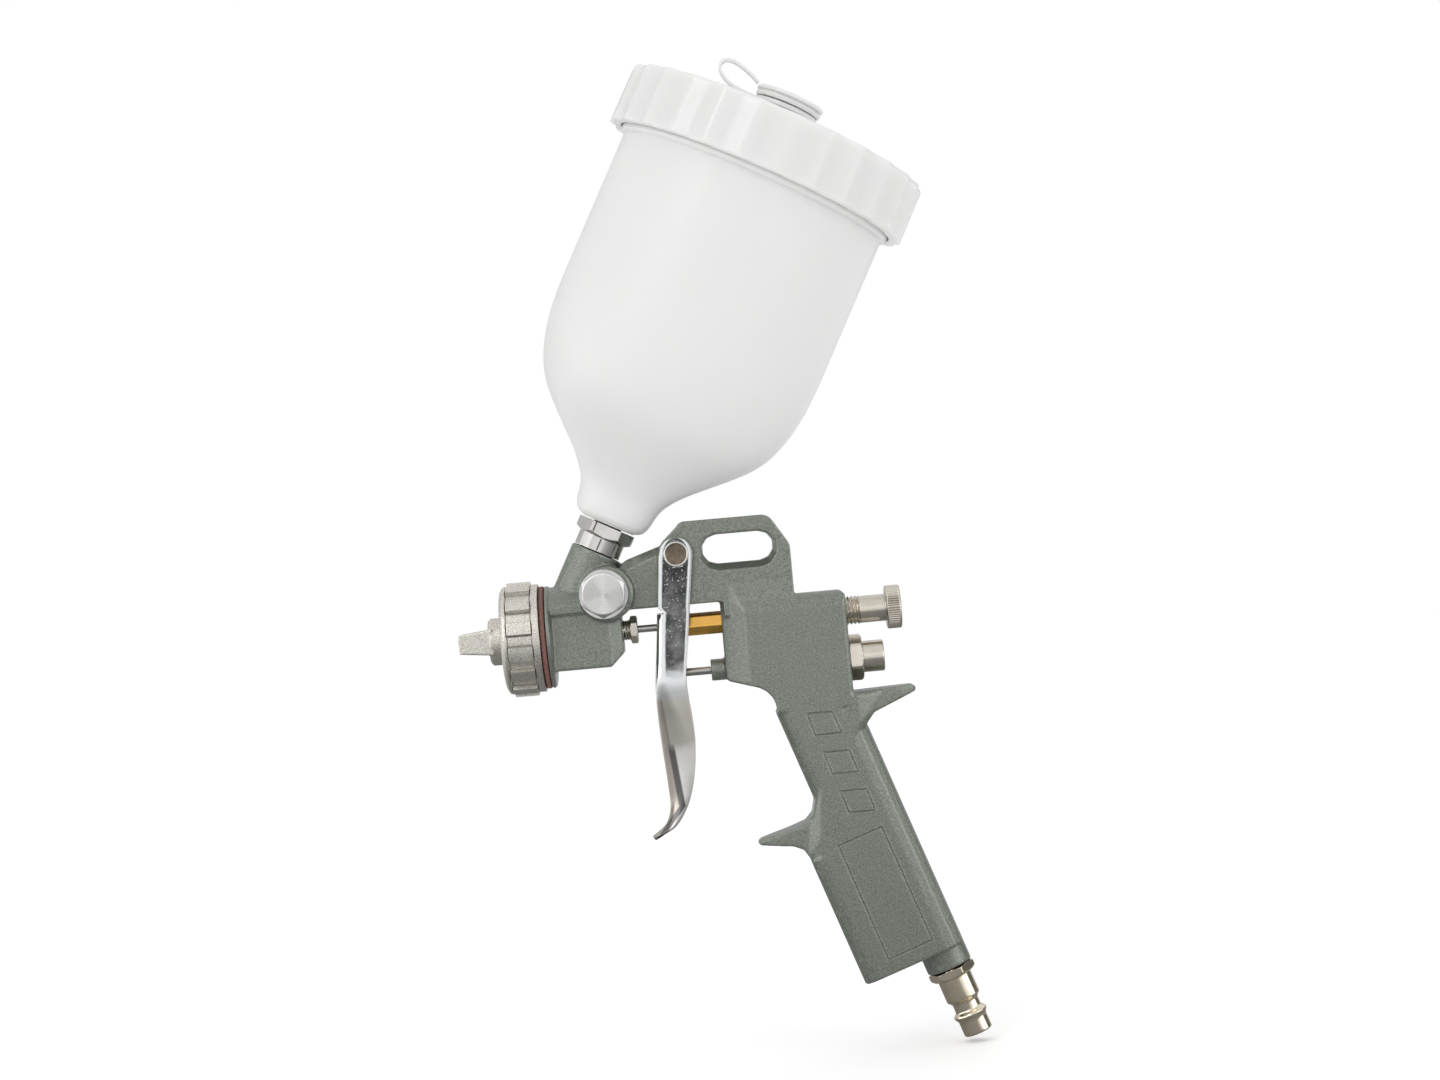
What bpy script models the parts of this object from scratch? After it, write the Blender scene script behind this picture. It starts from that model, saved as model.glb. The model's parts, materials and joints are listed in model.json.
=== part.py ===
"""Gravity-feed airbrush gun with a trigger, a screw-on paint cup and a quick-coupling air nipple.

Sizes are in millimetres and are turned into metres by MM. Every piece is placed in the spray frame:
X runs rearwards along the needle, from the rear plane of the air cap ring, Z is up and Y is across.
The object's own origin is the middle of the bearing face in the hanging slot.
"""

import math

import bmesh
import bpy

MM = 0.001
GAP = 0.3  # clearance between pieces that rest on each other
RUN = 0.15  # radial clearance of a rod in its guide

HANG_POINT = (69.0, 0.0, 29.9)  # bearing face of the hanging slot, in the spray frame
PIVOT = (48.0, 0.0, 24.5)
VALVE_Z = -16.15
CUP_FOOT = (20.85, 0.0, 27.6)
CUP_TILT = 28.3
PLUG_AT = (22.6, 0.0, 13.2)
GRIP_AT = (121.85, 0.0, -80.25)  # a point halfway down the back of the grip
GRIP_TILT = 18.9
GRIP_FOOT = -36.7  # the grip's flat foot, in the grip's own height
INLET_AT = (128.6, 0.0, -124.2)

BODY_HALF = 11.5
PLATE_HALF = 8.0
BAR_HALF = 7.0
HEAD_HALF = 12.5
COLLAR_R = 15.2
FLANGE_R = 17.5
CHAMBER_R = 11.6
NOZZLE_SEAT_R = 5.3
RING_RIM_R = 18.4
RING_PAD_R = 19.5
RING_PADS = 14
CUP_R = 47.6
LID_R = 54.0
LID_FLUTES = 26
TRIGGER_HALF = 9.9
SHEET = 1.5
NEEDLE_R = 1.25
STEM_R = 1.35
KNOB_BORE_R = 3.7
PLUG_TURN = -4.0
NIPPLE_TURN = 38.0
VALVE_CAP_TURN = 24.0
FOOT_TURN = 33.5
COLLAR_TURN = 15.0
PACKING_TURN = 30.0
STEPS = 28
FINE_STEPS = 32
SMALL_STEPS = 12

FINISHES = {  # base colour, metallic, roughness
    "enamel": ((0.19, 0.21, 0.185), 0.35, 0.45),
    "satin_nickel": ((0.62, 0.59, 0.53), 1.0, 0.38),
    "chrome": ((0.75, 0.74, 0.72), 1.0, 0.12),
    "steel": ((0.55, 0.54, 0.52), 1.0, 0.3),
    "brass": ((0.72, 0.45, 0.14), 1.0, 0.3),
    "cup_plastic": ((0.83, 0.83, 0.82), 0.0, 0.4),
    "lid_plastic": ((0.88, 0.88, 0.88), 0.0, 0.3),
    "fibre": ((0.23, 0.08, 0.06), 0.0, 0.8),
    "seal": ((0.85, 0.85, 0.82), 0.0, 0.5),
    "rubber": ((0.03, 0.03, 0.03), 0.0, 0.7),
    "nickel": ((0.66, 0.6, 0.48), 1.0, 0.25),
    "turned_steel": ((0.68, 0.68, 0.67), 1.0, 0.28),
    "dark_steel": ((0.26, 0.23, 0.2), 1.0, 0.4),
}


def clear_scene():
    for obj in list(bpy.data.objects):
        bpy.data.objects.remove(obj, do_unlink=True)
    for group in list(bpy.data.collections):
        bpy.data.collections.remove(group)


def collection(name):
    made = bpy.data.collections.new(name)
    bpy.context.scene.collection.children.link(made)
    return made


clear_scene()
PARTS = collection("airbrush_gun")
CUTTERS = collection("cutters")


def finish(obj, name):
    """Gives the piece a material of its own with this finish."""
    colour, metallic, roughness = FINISHES[name]
    made = bpy.data.materials.new(obj.name)
    made.use_nodes = True
    shader = made.node_tree.nodes["Principled BSDF"]
    shader.inputs["Base Color"].default_value = (*colour, 1.0)
    shader.inputs["Metallic"].default_value = metallic
    shader.inputs["Roughness"].default_value = roughness
    obj.data.materials.append(made)
    return obj


def empty(name, at, turn=(0.0, 0.0, 0.0), parent=None):
    made = bpy.data.objects.new(name, None)
    made.location = [value * MM for value in at]
    made.rotation_euler = [math.radians(angle) for angle in turn]
    made.parent = parent
    PARTS.objects.link(made)
    return made


GUN = empty("spray_frame", [-value for value in HANG_POINT])
NEEDLE_AXIS = empty("needle_axis", (0, 0, 0), (0, 90, 0), GUN)
VALVE_AXIS = empty("valve_axis", (0, 0, VALVE_Z), (0, 90, 0), GUN)
CUP_AXIS = empty("cup_axis", CUP_FOOT, (0, CUP_TILT, 0), GUN)
PLUG_AXIS = empty("plug_axis", PLUG_AT, (90, 0, 0), GUN)
PIVOT_AXIS = empty("pivot_axis", PIVOT, (90, 0, 0), GUN)
SIDE_VIEW = empty("side_view", (0, 0, 0), (90, 0, 0), GUN)
CUP_SIDE_VIEW = empty("cup_side_view", (0, 0, 0), (90, 0, 0), CUP_AXIS)
GRIP_FRAME = empty("grip_frame", GRIP_AT, (0, -GRIP_TILT, 0), GUN)
INLET_AXIS = empty("inlet_axis", INLET_AT, (0, 180 - GRIP_TILT, 0), GUN)


def place(name, mesh, frame):
    made = bpy.data.objects.new(name, mesh)
    made.parent = frame
    PARTS.objects.link(made)
    return made


def from_bmesh(name, shape, frame):
    mesh = bpy.data.meshes.new(name)
    shape.to_mesh(mesh)
    shape.free()
    return place(name, mesh, frame)


def turned(name, outer, frame, bore=None, steps=STEPS):
    """Turns (height, radius) points, listed upwards, about the frame's Z. A bore is listed upwards too."""
    loop = [(radius, height) for height, radius in reversed(outer)]
    if bore:
        loop += [(radius, height) for height, radius in bore]
    else:
        loop = [(0.0, outer[-1][0])] + loop + [(0.0, outer[0][0])]
    count = len(loop)
    edges = [(index, index + 1) for index in range(count - 1)]
    if bore:
        edges.append((count - 1, 0))
    mesh = bpy.data.meshes.new(name)
    mesh.from_pydata([(x * MM, 0.0, z * MM) for x, z in loop], edges, [])
    made = place(name, mesh, frame)
    screw = made.modifiers.new("turn", "SCREW")
    screw.steps = steps
    screw.render_steps = steps
    screw.use_merge_vertices = True
    screw.merge_threshold = 1e-6
    screw.use_smooth_shade = True
    return made


def tube(name, low, high, outside, inside, frame, steps=STEPS):
    return turned(name, [(low, outside), (high, outside)], frame, [(low, inside), (high, inside)], steps)


def rod(name, low, high, radius, frame, steps=SMALL_STEPS, across=(0.0, 0.0)):
    """A cylinder along the frame's Z, moved across it by the given X and Y."""
    made = turned(name, [(low, radius), (high, radius)], frame, steps=steps)
    made.location = (across[0] * MM, across[1] * MM, 0.0)
    return made


def prism(name, sides, low, high, radius, frame, turn=0.0):
    """A regular prism along the frame's Z, with this radius over its corners."""
    shape = bmesh.new()
    wide = radius * MM
    long = (high - low) * MM
    bmesh.ops.create_cone(shape, cap_ends=True, segments=sides, radius1=wide, radius2=wide, depth=long)
    made = from_bmesh(name, shape, frame)
    made.location.z = (low + high) / 2 * MM
    made.rotation_euler.z = math.radians(turn)
    return made


def hexagon(name, flats, low, high, frame, turn=0.0):
    return prism(name, 6, low, high, flats / 2 / math.cos(math.pi / 6), frame, turn)


def slab(name, outline, low, high, frame):
    """A flat outline in the frame's XY plane, filled and made solid from low to high along its Z."""
    curve = bpy.data.curves.new(name, "CURVE")
    curve.dimensions = "2D"
    curve.fill_mode = "BOTH"
    curve.extrude = (high - low) / 2 * MM
    spline = curve.splines.new("POLY")
    spline.points.add(len(outline) - 1)
    for point, (x, y) in zip(spline.points, outline):
        point.co = (x * MM, y * MM, 0.0, 1.0)
    spline.use_cyclic_u = True
    guide = bpy.data.objects.new(name, curve)
    CUTTERS.objects.link(guide)
    graph = bpy.context.evaluated_depsgraph_get()
    mesh = bpy.data.meshes.new_from_object(guide.evaluated_get(graph))
    bpy.data.objects.remove(guide)
    shape = bmesh.new()
    shape.from_mesh(mesh)
    bmesh.ops.remove_doubles(shape, verts=shape.verts, dist=1e-7)
    bmesh.ops.recalc_face_normals(shape, faces=shape.faces)
    shape.to_mesh(mesh)
    shape.free()
    made = place(name, mesh, frame)
    made.location.z = (low + high) / 2 * MM
    return made


def hull(name, points, frame):
    """The convex solid around these points."""
    shape = bmesh.new()
    for point in points:
        shape.verts.new([value * MM for value in point])
    bmesh.ops.convex_hull(shape, input=shape.verts)
    bmesh.ops.recalc_face_normals(shape, faces=shape.faces)
    return from_bmesh(name, shape, frame)


def mirrored_hull(name, points, frame):
    """The convex solid around points given on one side, with their mirror images across Y."""
    both = [(x, side * y, z) for x, y, z in points for side in (-1, 1)]
    return hull(name, both, frame)


def tool(obj):
    """Makes this object a cutter: not a piece, only something a Boolean reads."""
    PARTS.objects.unlink(obj)
    CUTTERS.objects.link(obj)
    obj.hide_render = True
    obj.display_type = "WIRE"
    return obj


def combine(obj, operation, other):
    made = obj.modifiers.new(f"{operation.lower()}_{other.name}", "BOOLEAN")
    made.operation = operation
    made.solver = "EXACT"
    made.object = tool(other)
    return obj


def join(obj, *others):
    for other in others:
        combine(obj, "UNION", other)
    return obj


def cut(obj, *others):
    for other in others:
        combine(obj, "DIFFERENCE", other)
    return obj


def keep(obj, *others):
    for other in others:
        combine(obj, "INTERSECT", other)
    return obj


def arc(centre, radius, start, end, count):
    """Points round a circle, from start to end in degrees."""
    points = []
    for index in range(count + 1):
        angle = math.radians(start + (end - start) * index / count)
        points.append((centre[0] + radius * math.cos(angle), centre[1] + radius * math.sin(angle)))
    return points


def both_sides(half_plan):
    """Closes a plan given as (x, half width) points into an outline symmetric across Y."""
    return [(x, -y) for x, y in half_plan] + [(x, y) for x, y in reversed(half_plan)]


def profiled(name, side, plan, height=200.0):
    """The solid seen as one outline from the side and as another from above."""
    seen = slab(name, side, -30.0, 30.0, SIDE_VIEW)
    return keep(seen, slab(name + "_plan", both_sides(plan), -height, height, GUN))


# The casting


def front_collar():
    outer = [(-9.0, 14.4), (-8.2, COLLAR_R), (2.1, COLLAR_R), (2.1, FLANGE_R), (2.9, FLANGE_R - 0.2)]
    outer += [(3.5, 16.2), (4.0, 13.5), (4.4, 11.0), (10.0, 11.0)]
    return turned("front_collar", outer, NEEDLE_AXIS)


def head_block():
    side = [(2.5, 7.6), (2.5, -11.6), (23.1, -11.6), (27.5, -7.4), (27.5, 7.6)]
    return profiled("head_block", side, [(2.0, HEAD_HALF), (23.2, HEAD_HALF), (28.0, 8.4)])


def head_roof():
    """The arched air channel over the head, seen along the needle."""
    radius = 16.9
    eave = math.degrees(math.asin(13.2 / radius))
    arch = arc((0.0, 0.0), radius, 180 - eave, 180 + eave, 10)
    return slab("head_roof", [(-7.4, 13.2)] + arch + [(-7.4, -13.2)], 2.5, 20.0, NEEDLE_AXIS)


def cup_socket():
    return turned("cup_socket", [(-26.0, 8.7), (-0.4, 8.7), (0.0, 8.3)], CUP_AXIS, steps=20)


def plug_boss():
    made = turned("plug_boss", [(-13.0, 8.3), (-12.2, 9.3), (13.8, 9.3), (14.6, 8.6)], PLUG_AXIS, steps=20)
    made.location.x = 0.9 * MM
    return made


def bridge():
    side = [(22.0, 7.0), (63.0, 7.0), (63.0, 19.0), (22.0, 19.0)]
    bar = slab("bridge", side, -BAR_HALF, BAR_HALF, SIDE_VIEW)
    crease = [(27.0, BAR_HALF, 16.0), (27.0, BAR_HALF, 19.0), (38.5, BAR_HALF, 19.3), (44.0, BAR_HALF, 25.5)]
    foot = [(44.0, BAR_HALF, 16.0)]
    ridge = [(28.6, 3.6, 22.5), (31.0, 3.6, 24.0), (43.5, 3.6, 28.0)]
    return join(bar, mirrored_hull("bridge_ramp", crease + foot + ridge, GUN))


def hanging_loop():
    outline = [(41.5, 7.0), (41.5, 24.5)]
    outline += arc((47.0, 26.0), 4.6, 190, 122, 3)
    outline += [(49.0, 33.9)] + arc((51.4, 32.3), 3.0, 135, 90, 3)
    outline += arc((77.6, 30.7), 4.6, 90, 35, 4)
    outline += arc((81.6, 23.0), 5.2, 33, 0, 3)
    outline += [(86.8, 2.0), (62.5, 2.0), (62.5, 7.0)]
    return slab("hanging_loop", outline, -PLATE_HALF, PLATE_HALF, SIDE_VIEW)


def loop_shoulder():
    """Where the loop widens to the body below it."""
    low = [(61.4, 6.0, 3.2), (69.5, 10.9, 3.2), (86.8, 10.9, 3.2), (61.4, 6.0, 1.0), (86.8, 10.9, 1.0)]
    high = [(64.5, PLATE_HALF - 0.1, 13.0), (86.8, PLATE_HALF - 0.1, 13.0)]
    return mirrored_hull("loop_shoulder", low + [(69.5, 10.9, 1.0)] + high, GUN)


def main_block():
    side = [(102.4, 7.4), (61.3, 7.4), (61.3, -19.3), (62.2, -20.3)]
    side += arc((68.5, -31.5), 9.1, 76, 22, 5)
    side += [(77.8, -32.0), (105.0, -32.0), (103.8, -27.0), (103.8, 6.0)]
    plan = [(61.3, 5.6), (69.5, BODY_HALF), (102.8, BODY_HALF), (103.8, BODY_HALF - 1.0)]
    block = profiled("main_block", side, plan)
    shoulders = [(-3.2, BODY_HALF), (-6.2, BODY_HALF - 1.6), (-7.4, BODY_HALF - 4.2)]
    section = both_sides([(45.0, BODY_HALF)] + shoulders)
    return keep(block, slab("block_section", section, 50.0, 115.0, NEEDLE_AXIS))


def grip_bar(name, width, low, high):
    """One stretch of the grip: round at the back, less round at the front."""
    back = 6.5
    front = 4.2
    half = BODY_HALF
    section = arc((-back, half - back), back, 90, 0, 3) + arc((-back, back - half), back, 0, -90, 3)
    section += arc((front - width, front - half), front, 270, 180, 3)
    section += arc((front - width, half - front), front, 180, 90, 3)
    return slab(name, section, low, high, GRIP_FRAME)


def rear_spur():
    side = [(100.0, -27.5), (104.0, -27.6), (124.0, -26.8), (125.2, -27.5), (125.2, -29.0)]
    side += [(110.2, -35.0), (108.4, -36.3), (107.5, -38.5), (106.0, -44.0), (100.0, -44.0)]
    return profiled("rear_spur", side, [(99.0, 9.5), (107.0, 9.0), (120.0, 6.6), (124.2, 5.2), (125.6, 3.6)])


def front_spur():
    side = [(100.0, -60.0), (88.6, -60.0), (87.9, -64.5), (86.4, -68.0), (84.0, -70.5), (78.0, -72.5)]
    side += [(68.3, -75.0), (67.0, -76.0), (68.1, -77.0), (79.0, -78.0), (82.4, -79.4), (84.3, -82.5)]
    side += [(86.6, -89.0), (100.0, -89.0)]
    plan = [(66.8, 3.4), (68.2, 4.8), (74.0, 7.0), (85.0, 9.0), (90.0, 9.8), (101.0, 9.8)]
    return profiled("front_spur", side, plan)


def casting_bores():
    """Needle line, fluid way, air ways, valve chamber, inlet and pivot hole."""
    line = [(-12.0, NOZZLE_SEAT_R), (13.0, NOZZLE_SEAT_R), (14.2, 2.4), (22.0, 2.4), (22.1, 3.9), (29.0, 3.9)]
    valve = [(54.0, 2.9), (59.0, 2.9), (59.0, STEM_R + 0.4), (66.5, STEM_R + 0.4), (66.5, 3.2), (73.0, 3.2)]
    valve += [(73.0, 5.6), (79.0, 5.6), (79.0, 6.4), (106.0, 6.4)]
    tunnel = [(60.0, 4.4), (82.0, 4.4), (82.0, 5.3), (106.0, 5.3)]
    cup = [(-30.6, 3.1), (-10.4, 3.1), (-10.0, 6.2), (1.0, 6.2)]
    inlet = [(-114.0, 3.6), (-12.0, 3.6), (-12.0, NOZZLE_SEAT_R), (1.0, NOZZLE_SEAT_R)]
    return [
        turned("nozzle_line", line, NEEDLE_AXIS, steps=SMALL_STEPS),
        tube("air_chamber", -10.0, 3.4, CHAMBER_R, 7.6, NEEDLE_AXIS),
        turned("cup_way", cup, CUP_AXIS, steps=SMALL_STEPS),
        rod("plug_hole", -8.0, 16.0, 5.3, PLUG_AXIS),
        rod("bridge_gallery", 23.0, 71.9, 2.4, NEEDLE_AXIS, 10, (-12.4, 3.1)),
        rod("head_gallery", 1.0, 22.0, 1.7, NEEDLE_AXIS, 8, (-8.1, 6.1)),
        rod("riser", VALVE_Z - 1.1, 10.5, 1.5, GUN, 8, (70.0, 6.35)),
        rod("riser_foot", -6.7, 0.0, 1.2, SIDE_VIEW, 8, (70.1, VALVE_Z + 0.1)),
        turned("valve_chamber", valve, VALVE_AXIS, steps=SMALL_STEPS),
        turned("needle_tunnel", tunnel, NEEDLE_AXIS, steps=SMALL_STEPS),
        turned("inlet_way", inlet, INLET_AXIS, steps=SMALL_STEPS),
        rod("pivot_hole", -12.0, 12.0, 2.5, PIVOT_AXIS),
    ]


def stadium(left, right, low, high, count=5):
    """A slot's outline, with round ends."""
    radius = (high - low) / 2
    middle = (low + high) / 2
    points = arc((right - radius, middle), radius, -90, 90, count)
    return points + arc((left + radius, middle), radius, 90, 270, count)


def slot_cutters():
    """The hanging slot and the wide bevels on both sides of it."""
    hole = stadium(56.8, 81.2, 20.0, HANG_POINT[2])
    throat = stadium(57.1, 80.9, 20.3, 29.6)
    mouth = stadium(55.7, 82.5, 17.5, 30.3)
    cutters = [slab("hang_slot", hole, -12.0, 12.0, SIDE_VIEW)]
    for name, side in (("slot_mouth_near", -1.0), ("slot_mouth_far", 1.0)):
        inner = [(x, side * 3.6, z) for x, z in throat]
        outer = [(x, side * (PLATE_HALF + 0.2), z) for x, z in mouth]
        cutters.append(hull(name, inner + outer, GUN))
    return cutters


def body_casting():
    body = main_block()
    body.name = "body_casting"
    solids = [front_collar(), head_block(), head_roof(), cup_socket(), plug_boss(), bridge(), hanging_loop()]
    solids += [loop_shoulder(), grip_bar("grip_top", 26.9, -12.0, 60.0)]
    solids += [grip_bar("grip_base", 36.4, GRIP_FOOT, 9.0), rear_spur(), front_spur()]
    solids.append(rod("inlet_boss", -34.0, 0.0, 7.9, INLET_AXIS, 20))
    solids.append(rod("stem_boss", 56.3, 64.0, 3.7, VALVE_AXIS))
    join(body, *solids)
    cut(body, *casting_bores())
    cut(body, *slot_cutters())
    return finish(body, "enamel")


# Spray head


def fluid_nozzle():
    outer = [(-19.8, 1.5), (-18.4, 1.7), (-14.2, 5.4), (-13.6, 5.4)]
    outer += [(-13.6, 7.2), (-9.3, 7.2), (-9.3, 5.0), (12.6, 5.0)]
    bore = [(-19.8, 0.75), (-17.5, 1.3), (-15.5, 2.2), (12.6, 2.2)]
    return finish(turned("fluid_nozzle", outer, NEEDLE_AXIS, bore, SMALL_STEPS), "steel")


def air_baffle():
    ring = tube("air_baffle", -5.5, -3.2, CHAMBER_R - GAP, 7.6 + GAP, NEEDLE_AXIS, 24)
    holes = []
    for index in range(6):
        x, y = arc((0.0, 0.0), 9.6, 30 + 60 * index, 0, 1)[0]
        holes.append(rod(f"baffle_hole_{index}", -7.0, -2.0, 0.8, NEEDLE_AXIS, 6, (x, y)))
    return finish(cut(ring, *holes), "brass")


def head_gasket():
    return finish(tube("head_gasket", 0.2, 1.8, FLANGE_R, COLLAR_R + GAP, NEEDLE_AXIS), "fibre")


def air_cap():
    """The cap over the nozzle, with its two horns to the left and right of the jet."""
    outer = [(-18.2, 7.2), (-17.4, 8.1), (-12.4, 8.1), (-10.9, 9.6), (-10.8, 14.9), (-9.4, 14.9)]
    cap = turned("air_cap", outer, NEEDLE_AXIS)
    horn_root = [(-17.2, y, z) for y in (2.6, 7.4) for z in (-4.4, 4.6)]
    horn_neck = [(-19.2, y, z) for y in (2.9, 7.9) for z in (-3.3, 3.5)]
    horn_tip = [(-28.3, y, z) for y in (4.7, 7.3) for z in (-2.9, 3.2)]
    for name, side in (("horn_near", -1), ("horn_far", 1)):
        points = [(x, side * y, z) for x, y, z in horn_root + horn_neck + horn_tip]
        join(cap, hull(name, points, GUN))
    hollow = [(-21.0, 2.2), (-18.0, 2.2), (-14.4, 5.9), (-14.2, 7.6), (-9.0, 7.6)]
    return finish(cut(cap, turned("cap_hollow", hollow, NEEDLE_AXIS, steps=20)), "satin_nickel")


def cap_slip_washer():
    return finish(tube("cap_slip_washer", -11.9, -11.2, 15.2, 11.0, NEEDLE_AXIS), "seal")


def air_cap_ring():
    """The knurled union ring: a turned ring with raised pads round it."""
    outer = [(-13.5, 15.6), (-13.2, 16.7), (-12.3, RING_RIM_R), (-11.6, 17.9), (-2.6, 17.9)]
    outer += [(-1.8, RING_RIM_R), (-0.1, RING_RIM_R)]
    ring = turned("air_cap_ring", outer, NEEDLE_AXIS)
    pads = []
    pitch = 360 / RING_PADS
    for index in range(RING_PADS):
        middle = pitch * index
        pads += arc((0.0, 0.0), RING_PAD_R, middle - pitch / 4, middle + pitch / 4, 1)
        pads += arc((0.0, 0.0), 17.0, middle + pitch / 4 + 1.0, middle + pitch * 3 / 4 - 1.0, 1)
    join(ring, slab("ring_pads", pads, -11.0, -2.6, NEEDLE_AXIS))
    bore = [(-14.5, 9.2), (-12.3, 10.6), (-12.2, 15.6), (1.0, 15.6)]
    return finish(cut(ring, turned("ring_bore", bore, NEEDLE_AXIS)), "satin_nickel")


def side_plug():
    plug = rod("side_plug", 6.0, 16.1, 4.9, PLUG_AXIS)
    join(plug, hexagon("plug_hex", 14.2, 16.0, 20.4, PLUG_AXIS, PLUG_TURN))
    join(plug, rod("plug_face", 20.0, 21.0, 6.9, PLUG_AXIS, 32))
    return finish(plug, "turned_steel")


def plug_washer():
    return finish(tube("plug_washer", 14.9, 15.7, 7.2, 5.3, PLUG_AXIS, 20), "fibre")


def needle_packing():
    return finish(tube("needle_packing", 22.3, 24.9, 3.6, NEEDLE_R + RUN, NEEDLE_AXIS, SMALL_STEPS), "seal")


def packing_nut():
    nut = rod("packing_nut", 25.2, 30.1, 3.5, NEEDLE_AXIS)
    join(nut, hexagon("packing_hex", 8.4, 30.0, 32.6, NEEDLE_AXIS, PACKING_TURN))
    return finish(cut(nut, rod("packing_bore", 24.0, 34.0, NEEDLE_R + RUN, NEEDLE_AXIS)), "nickel")


# Needle line


def needle():
    outer = [(-19.6, 0.3), (-14.5, NEEDLE_R), (95.5, NEEDLE_R)]
    return finish(turned("needle", outer, NEEDLE_AXIS, steps=SMALL_STEPS), "steel")


def needle_collar():
    collar = hexagon("needle_collar", 7.0, 42.3, 74.0, NEEDLE_AXIS, COLLAR_TURN)
    return finish(cut(collar, rod("collar_bore", 40.0, 76.0, NEEDLE_R + RUN, NEEDLE_AXIS)), "brass")


def spring(name, low, high, radius, wire, turns, frame, slot):
    """A coil spring of round wire along the frame's Z."""
    points_a_turn = 8
    count = turns * points_a_turn
    curve = bpy.data.curves.new(name, "CURVE")
    curve.dimensions = "3D"
    curve.bevel_depth = wire / 2 * MM
    curve.bevel_resolution = 1
    curve.use_fill_caps = True
    spline = curve.splines.new("POLY")
    spline.points.add(count)
    for index, point in enumerate(spline.points):
        angle = 2 * math.pi * index / points_a_turn
        height = low + wire / 2 + (high - low - wire) * index / count
        x = (radius - wire / 2) * math.cos(angle)
        y = (radius - wire / 2) * math.sin(angle)
        point.co = (x * MM, y * MM, height * MM, 1.0)
    return finish(place(name, curve, frame), slot)


def needle_spring():
    return spring("needle_spring", 74.3, 109.0, 3.3, 0.8, 9, NEEDLE_AXIS, "steel")


def spring_seat():
    profile = [(109.4, 1.7), (110.9, 1.7), (110.9, 3.4), (112.2, 3.4)]
    return finish(turned("spring_seat", profile, NEEDLE_AXIS, steps=SMALL_STEPS), "brass")


def fluid_knob():
    outer = [(90.0, 5.0), (108.7, 5.0), (108.7, 4.6), (117.6, 4.6)]
    outer += [(117.6, 7.0), (118.0, 7.4), (122.3, 7.4), (122.7, 7.0)]
    knob = turned("fluid_knob", outer, NEEDLE_AXIS, steps=20)
    return finish(cut(knob, rod("knob_bore", 89.0, 112.5, KNOB_BORE_R, NEEDLE_AXIS)), "nickel")


# Air valve


def valve_stem():
    return finish(rod("valve_stem", 39.25, 88.0, STEM_R, VALVE_AXIS), "steel")


def stem_seal():
    return finish(tube("stem_seal", 56.6, 58.7, 2.6, STEM_R + RUN, VALVE_AXIS, SMALL_STEPS), "seal")


def valve_seat():
    return finish(tube("valve_seat", 73.3, 75.6, 5.3, 2.2, VALVE_AXIS, SMALL_STEPS), "brass")


def poppet_seal():
    return finish(tube("poppet_seal", 75.9, 77.1, 4.5, STEM_R + RUN, VALVE_AXIS, SMALL_STEPS), "rubber")


def valve_poppet():
    return finish(tube("valve_poppet", 77.4, 80.4, 4.9, STEM_R + RUN, VALVE_AXIS, SMALL_STEPS), "brass")


def valve_spring():
    return spring("valve_spring", 80.7, 113.0, 4.1, 0.9, 8, VALVE_AXIS, "steel")


def valve_cap_seal():
    return finish(tube("valve_cap_seal", 94.4, 95.7, 6.1, 4.6, VALVE_AXIS, SMALL_STEPS), "rubber")


def air_valve_cap():
    outer = [(96.0, 6.1), (104.3, 6.1), (104.3, 5.35), (115.2, 5.35), (115.6, 5.0)]
    cap = turned("air_valve_cap", outer, VALVE_AXIS, steps=20)
    join(cap, hexagon("cap_hex", 14.0, 104.1, 108.3, VALVE_AXIS, VALVE_CAP_TURN))
    return finish(cut(cap, rod("cap_bore", 95.0, 113.4, 4.5, VALVE_AXIS)), "nickel")


# Air inlet


def air_nipple():
    """The quick-coupling plug: hexagon, body, groove, ridge and tip."""
    outer = [(-9.0, 4.95), (3.2, 4.95), (3.2, 5.95), (11.4, 5.95), (12.6, 4.6), (15.9, 4.6), (16.7, 5.7)]
    outer += [(17.5, 5.95), (18.3, 5.7), (19.2, 5.0), (24.0, 5.0), (24.4, 4.7)]
    nipple = turned("air_nipple", outer, INLET_AXIS, steps=20)
    join(nipple, hexagon("nipple_hex", 14.4, GAP, 3.4, INLET_AXIS, NIPPLE_TURN))
    return finish(cut(nipple, rod("nipple_bore", -10.0, 26.0, 3.4, INLET_AXIS)), "nickel")


def nipple_seal():
    return finish(tube("nipple_seal", -11.6, -9.4, 4.9, 3.7, INLET_AXIS, SMALL_STEPS), "seal")


# Trigger


def trigger_silhouette():
    head = arc((PIVOT[0], PIVOT[2]), 5.6, -4, 188, 12)
    front = [(40.3, 4.6), (39.7, 4.0), (37.2, -18.0), (36.8, -25.0), (37.0, -35.0), (37.8, -48.0)]
    front += [(38.4, -60.0), (37.8, -64.0), (36.0, -67.5), (33.0, -69.8), (31.4, -70.9)]
    back = [(36.0, -70.1), (39.5, -68.2), (42.5, -64.5), (45.5, -59.0), (47.5, -52.0), (48.5, -45.0)]
    back += [(48.8, -38.0), (48.5, -32.0), (47.8, -25.0), (47.3, -20.0)]
    return head + front + back


def trigger_channel():
    """The open inside of the folded sheet, from the side."""
    inside = [(28.0, 40.0), (28.0, 4.6), (41.2, 4.6), (38.7, -18.0), (38.3, -25.0), (38.5, -35.0)]
    inside += [(39.3, -48.0), (39.9, -60.0), (39.3, -64.2), (38.4, -66.2), (44.5, -66.2)]
    return inside + [(65.0, -60.0), (65.0, 40.0)]


def trigger_front_view(inset):
    """Half widths down the trigger, in the frame's XY plane turned to face along X."""
    half = TRIGGER_HALF - inset
    half_plan = [(-45.0, half), (20.0, half), (40.0, half - 1.3), (57.0, half - 2.2), (75.0, half - 5.4)]
    return both_sides(half_plan)


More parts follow.
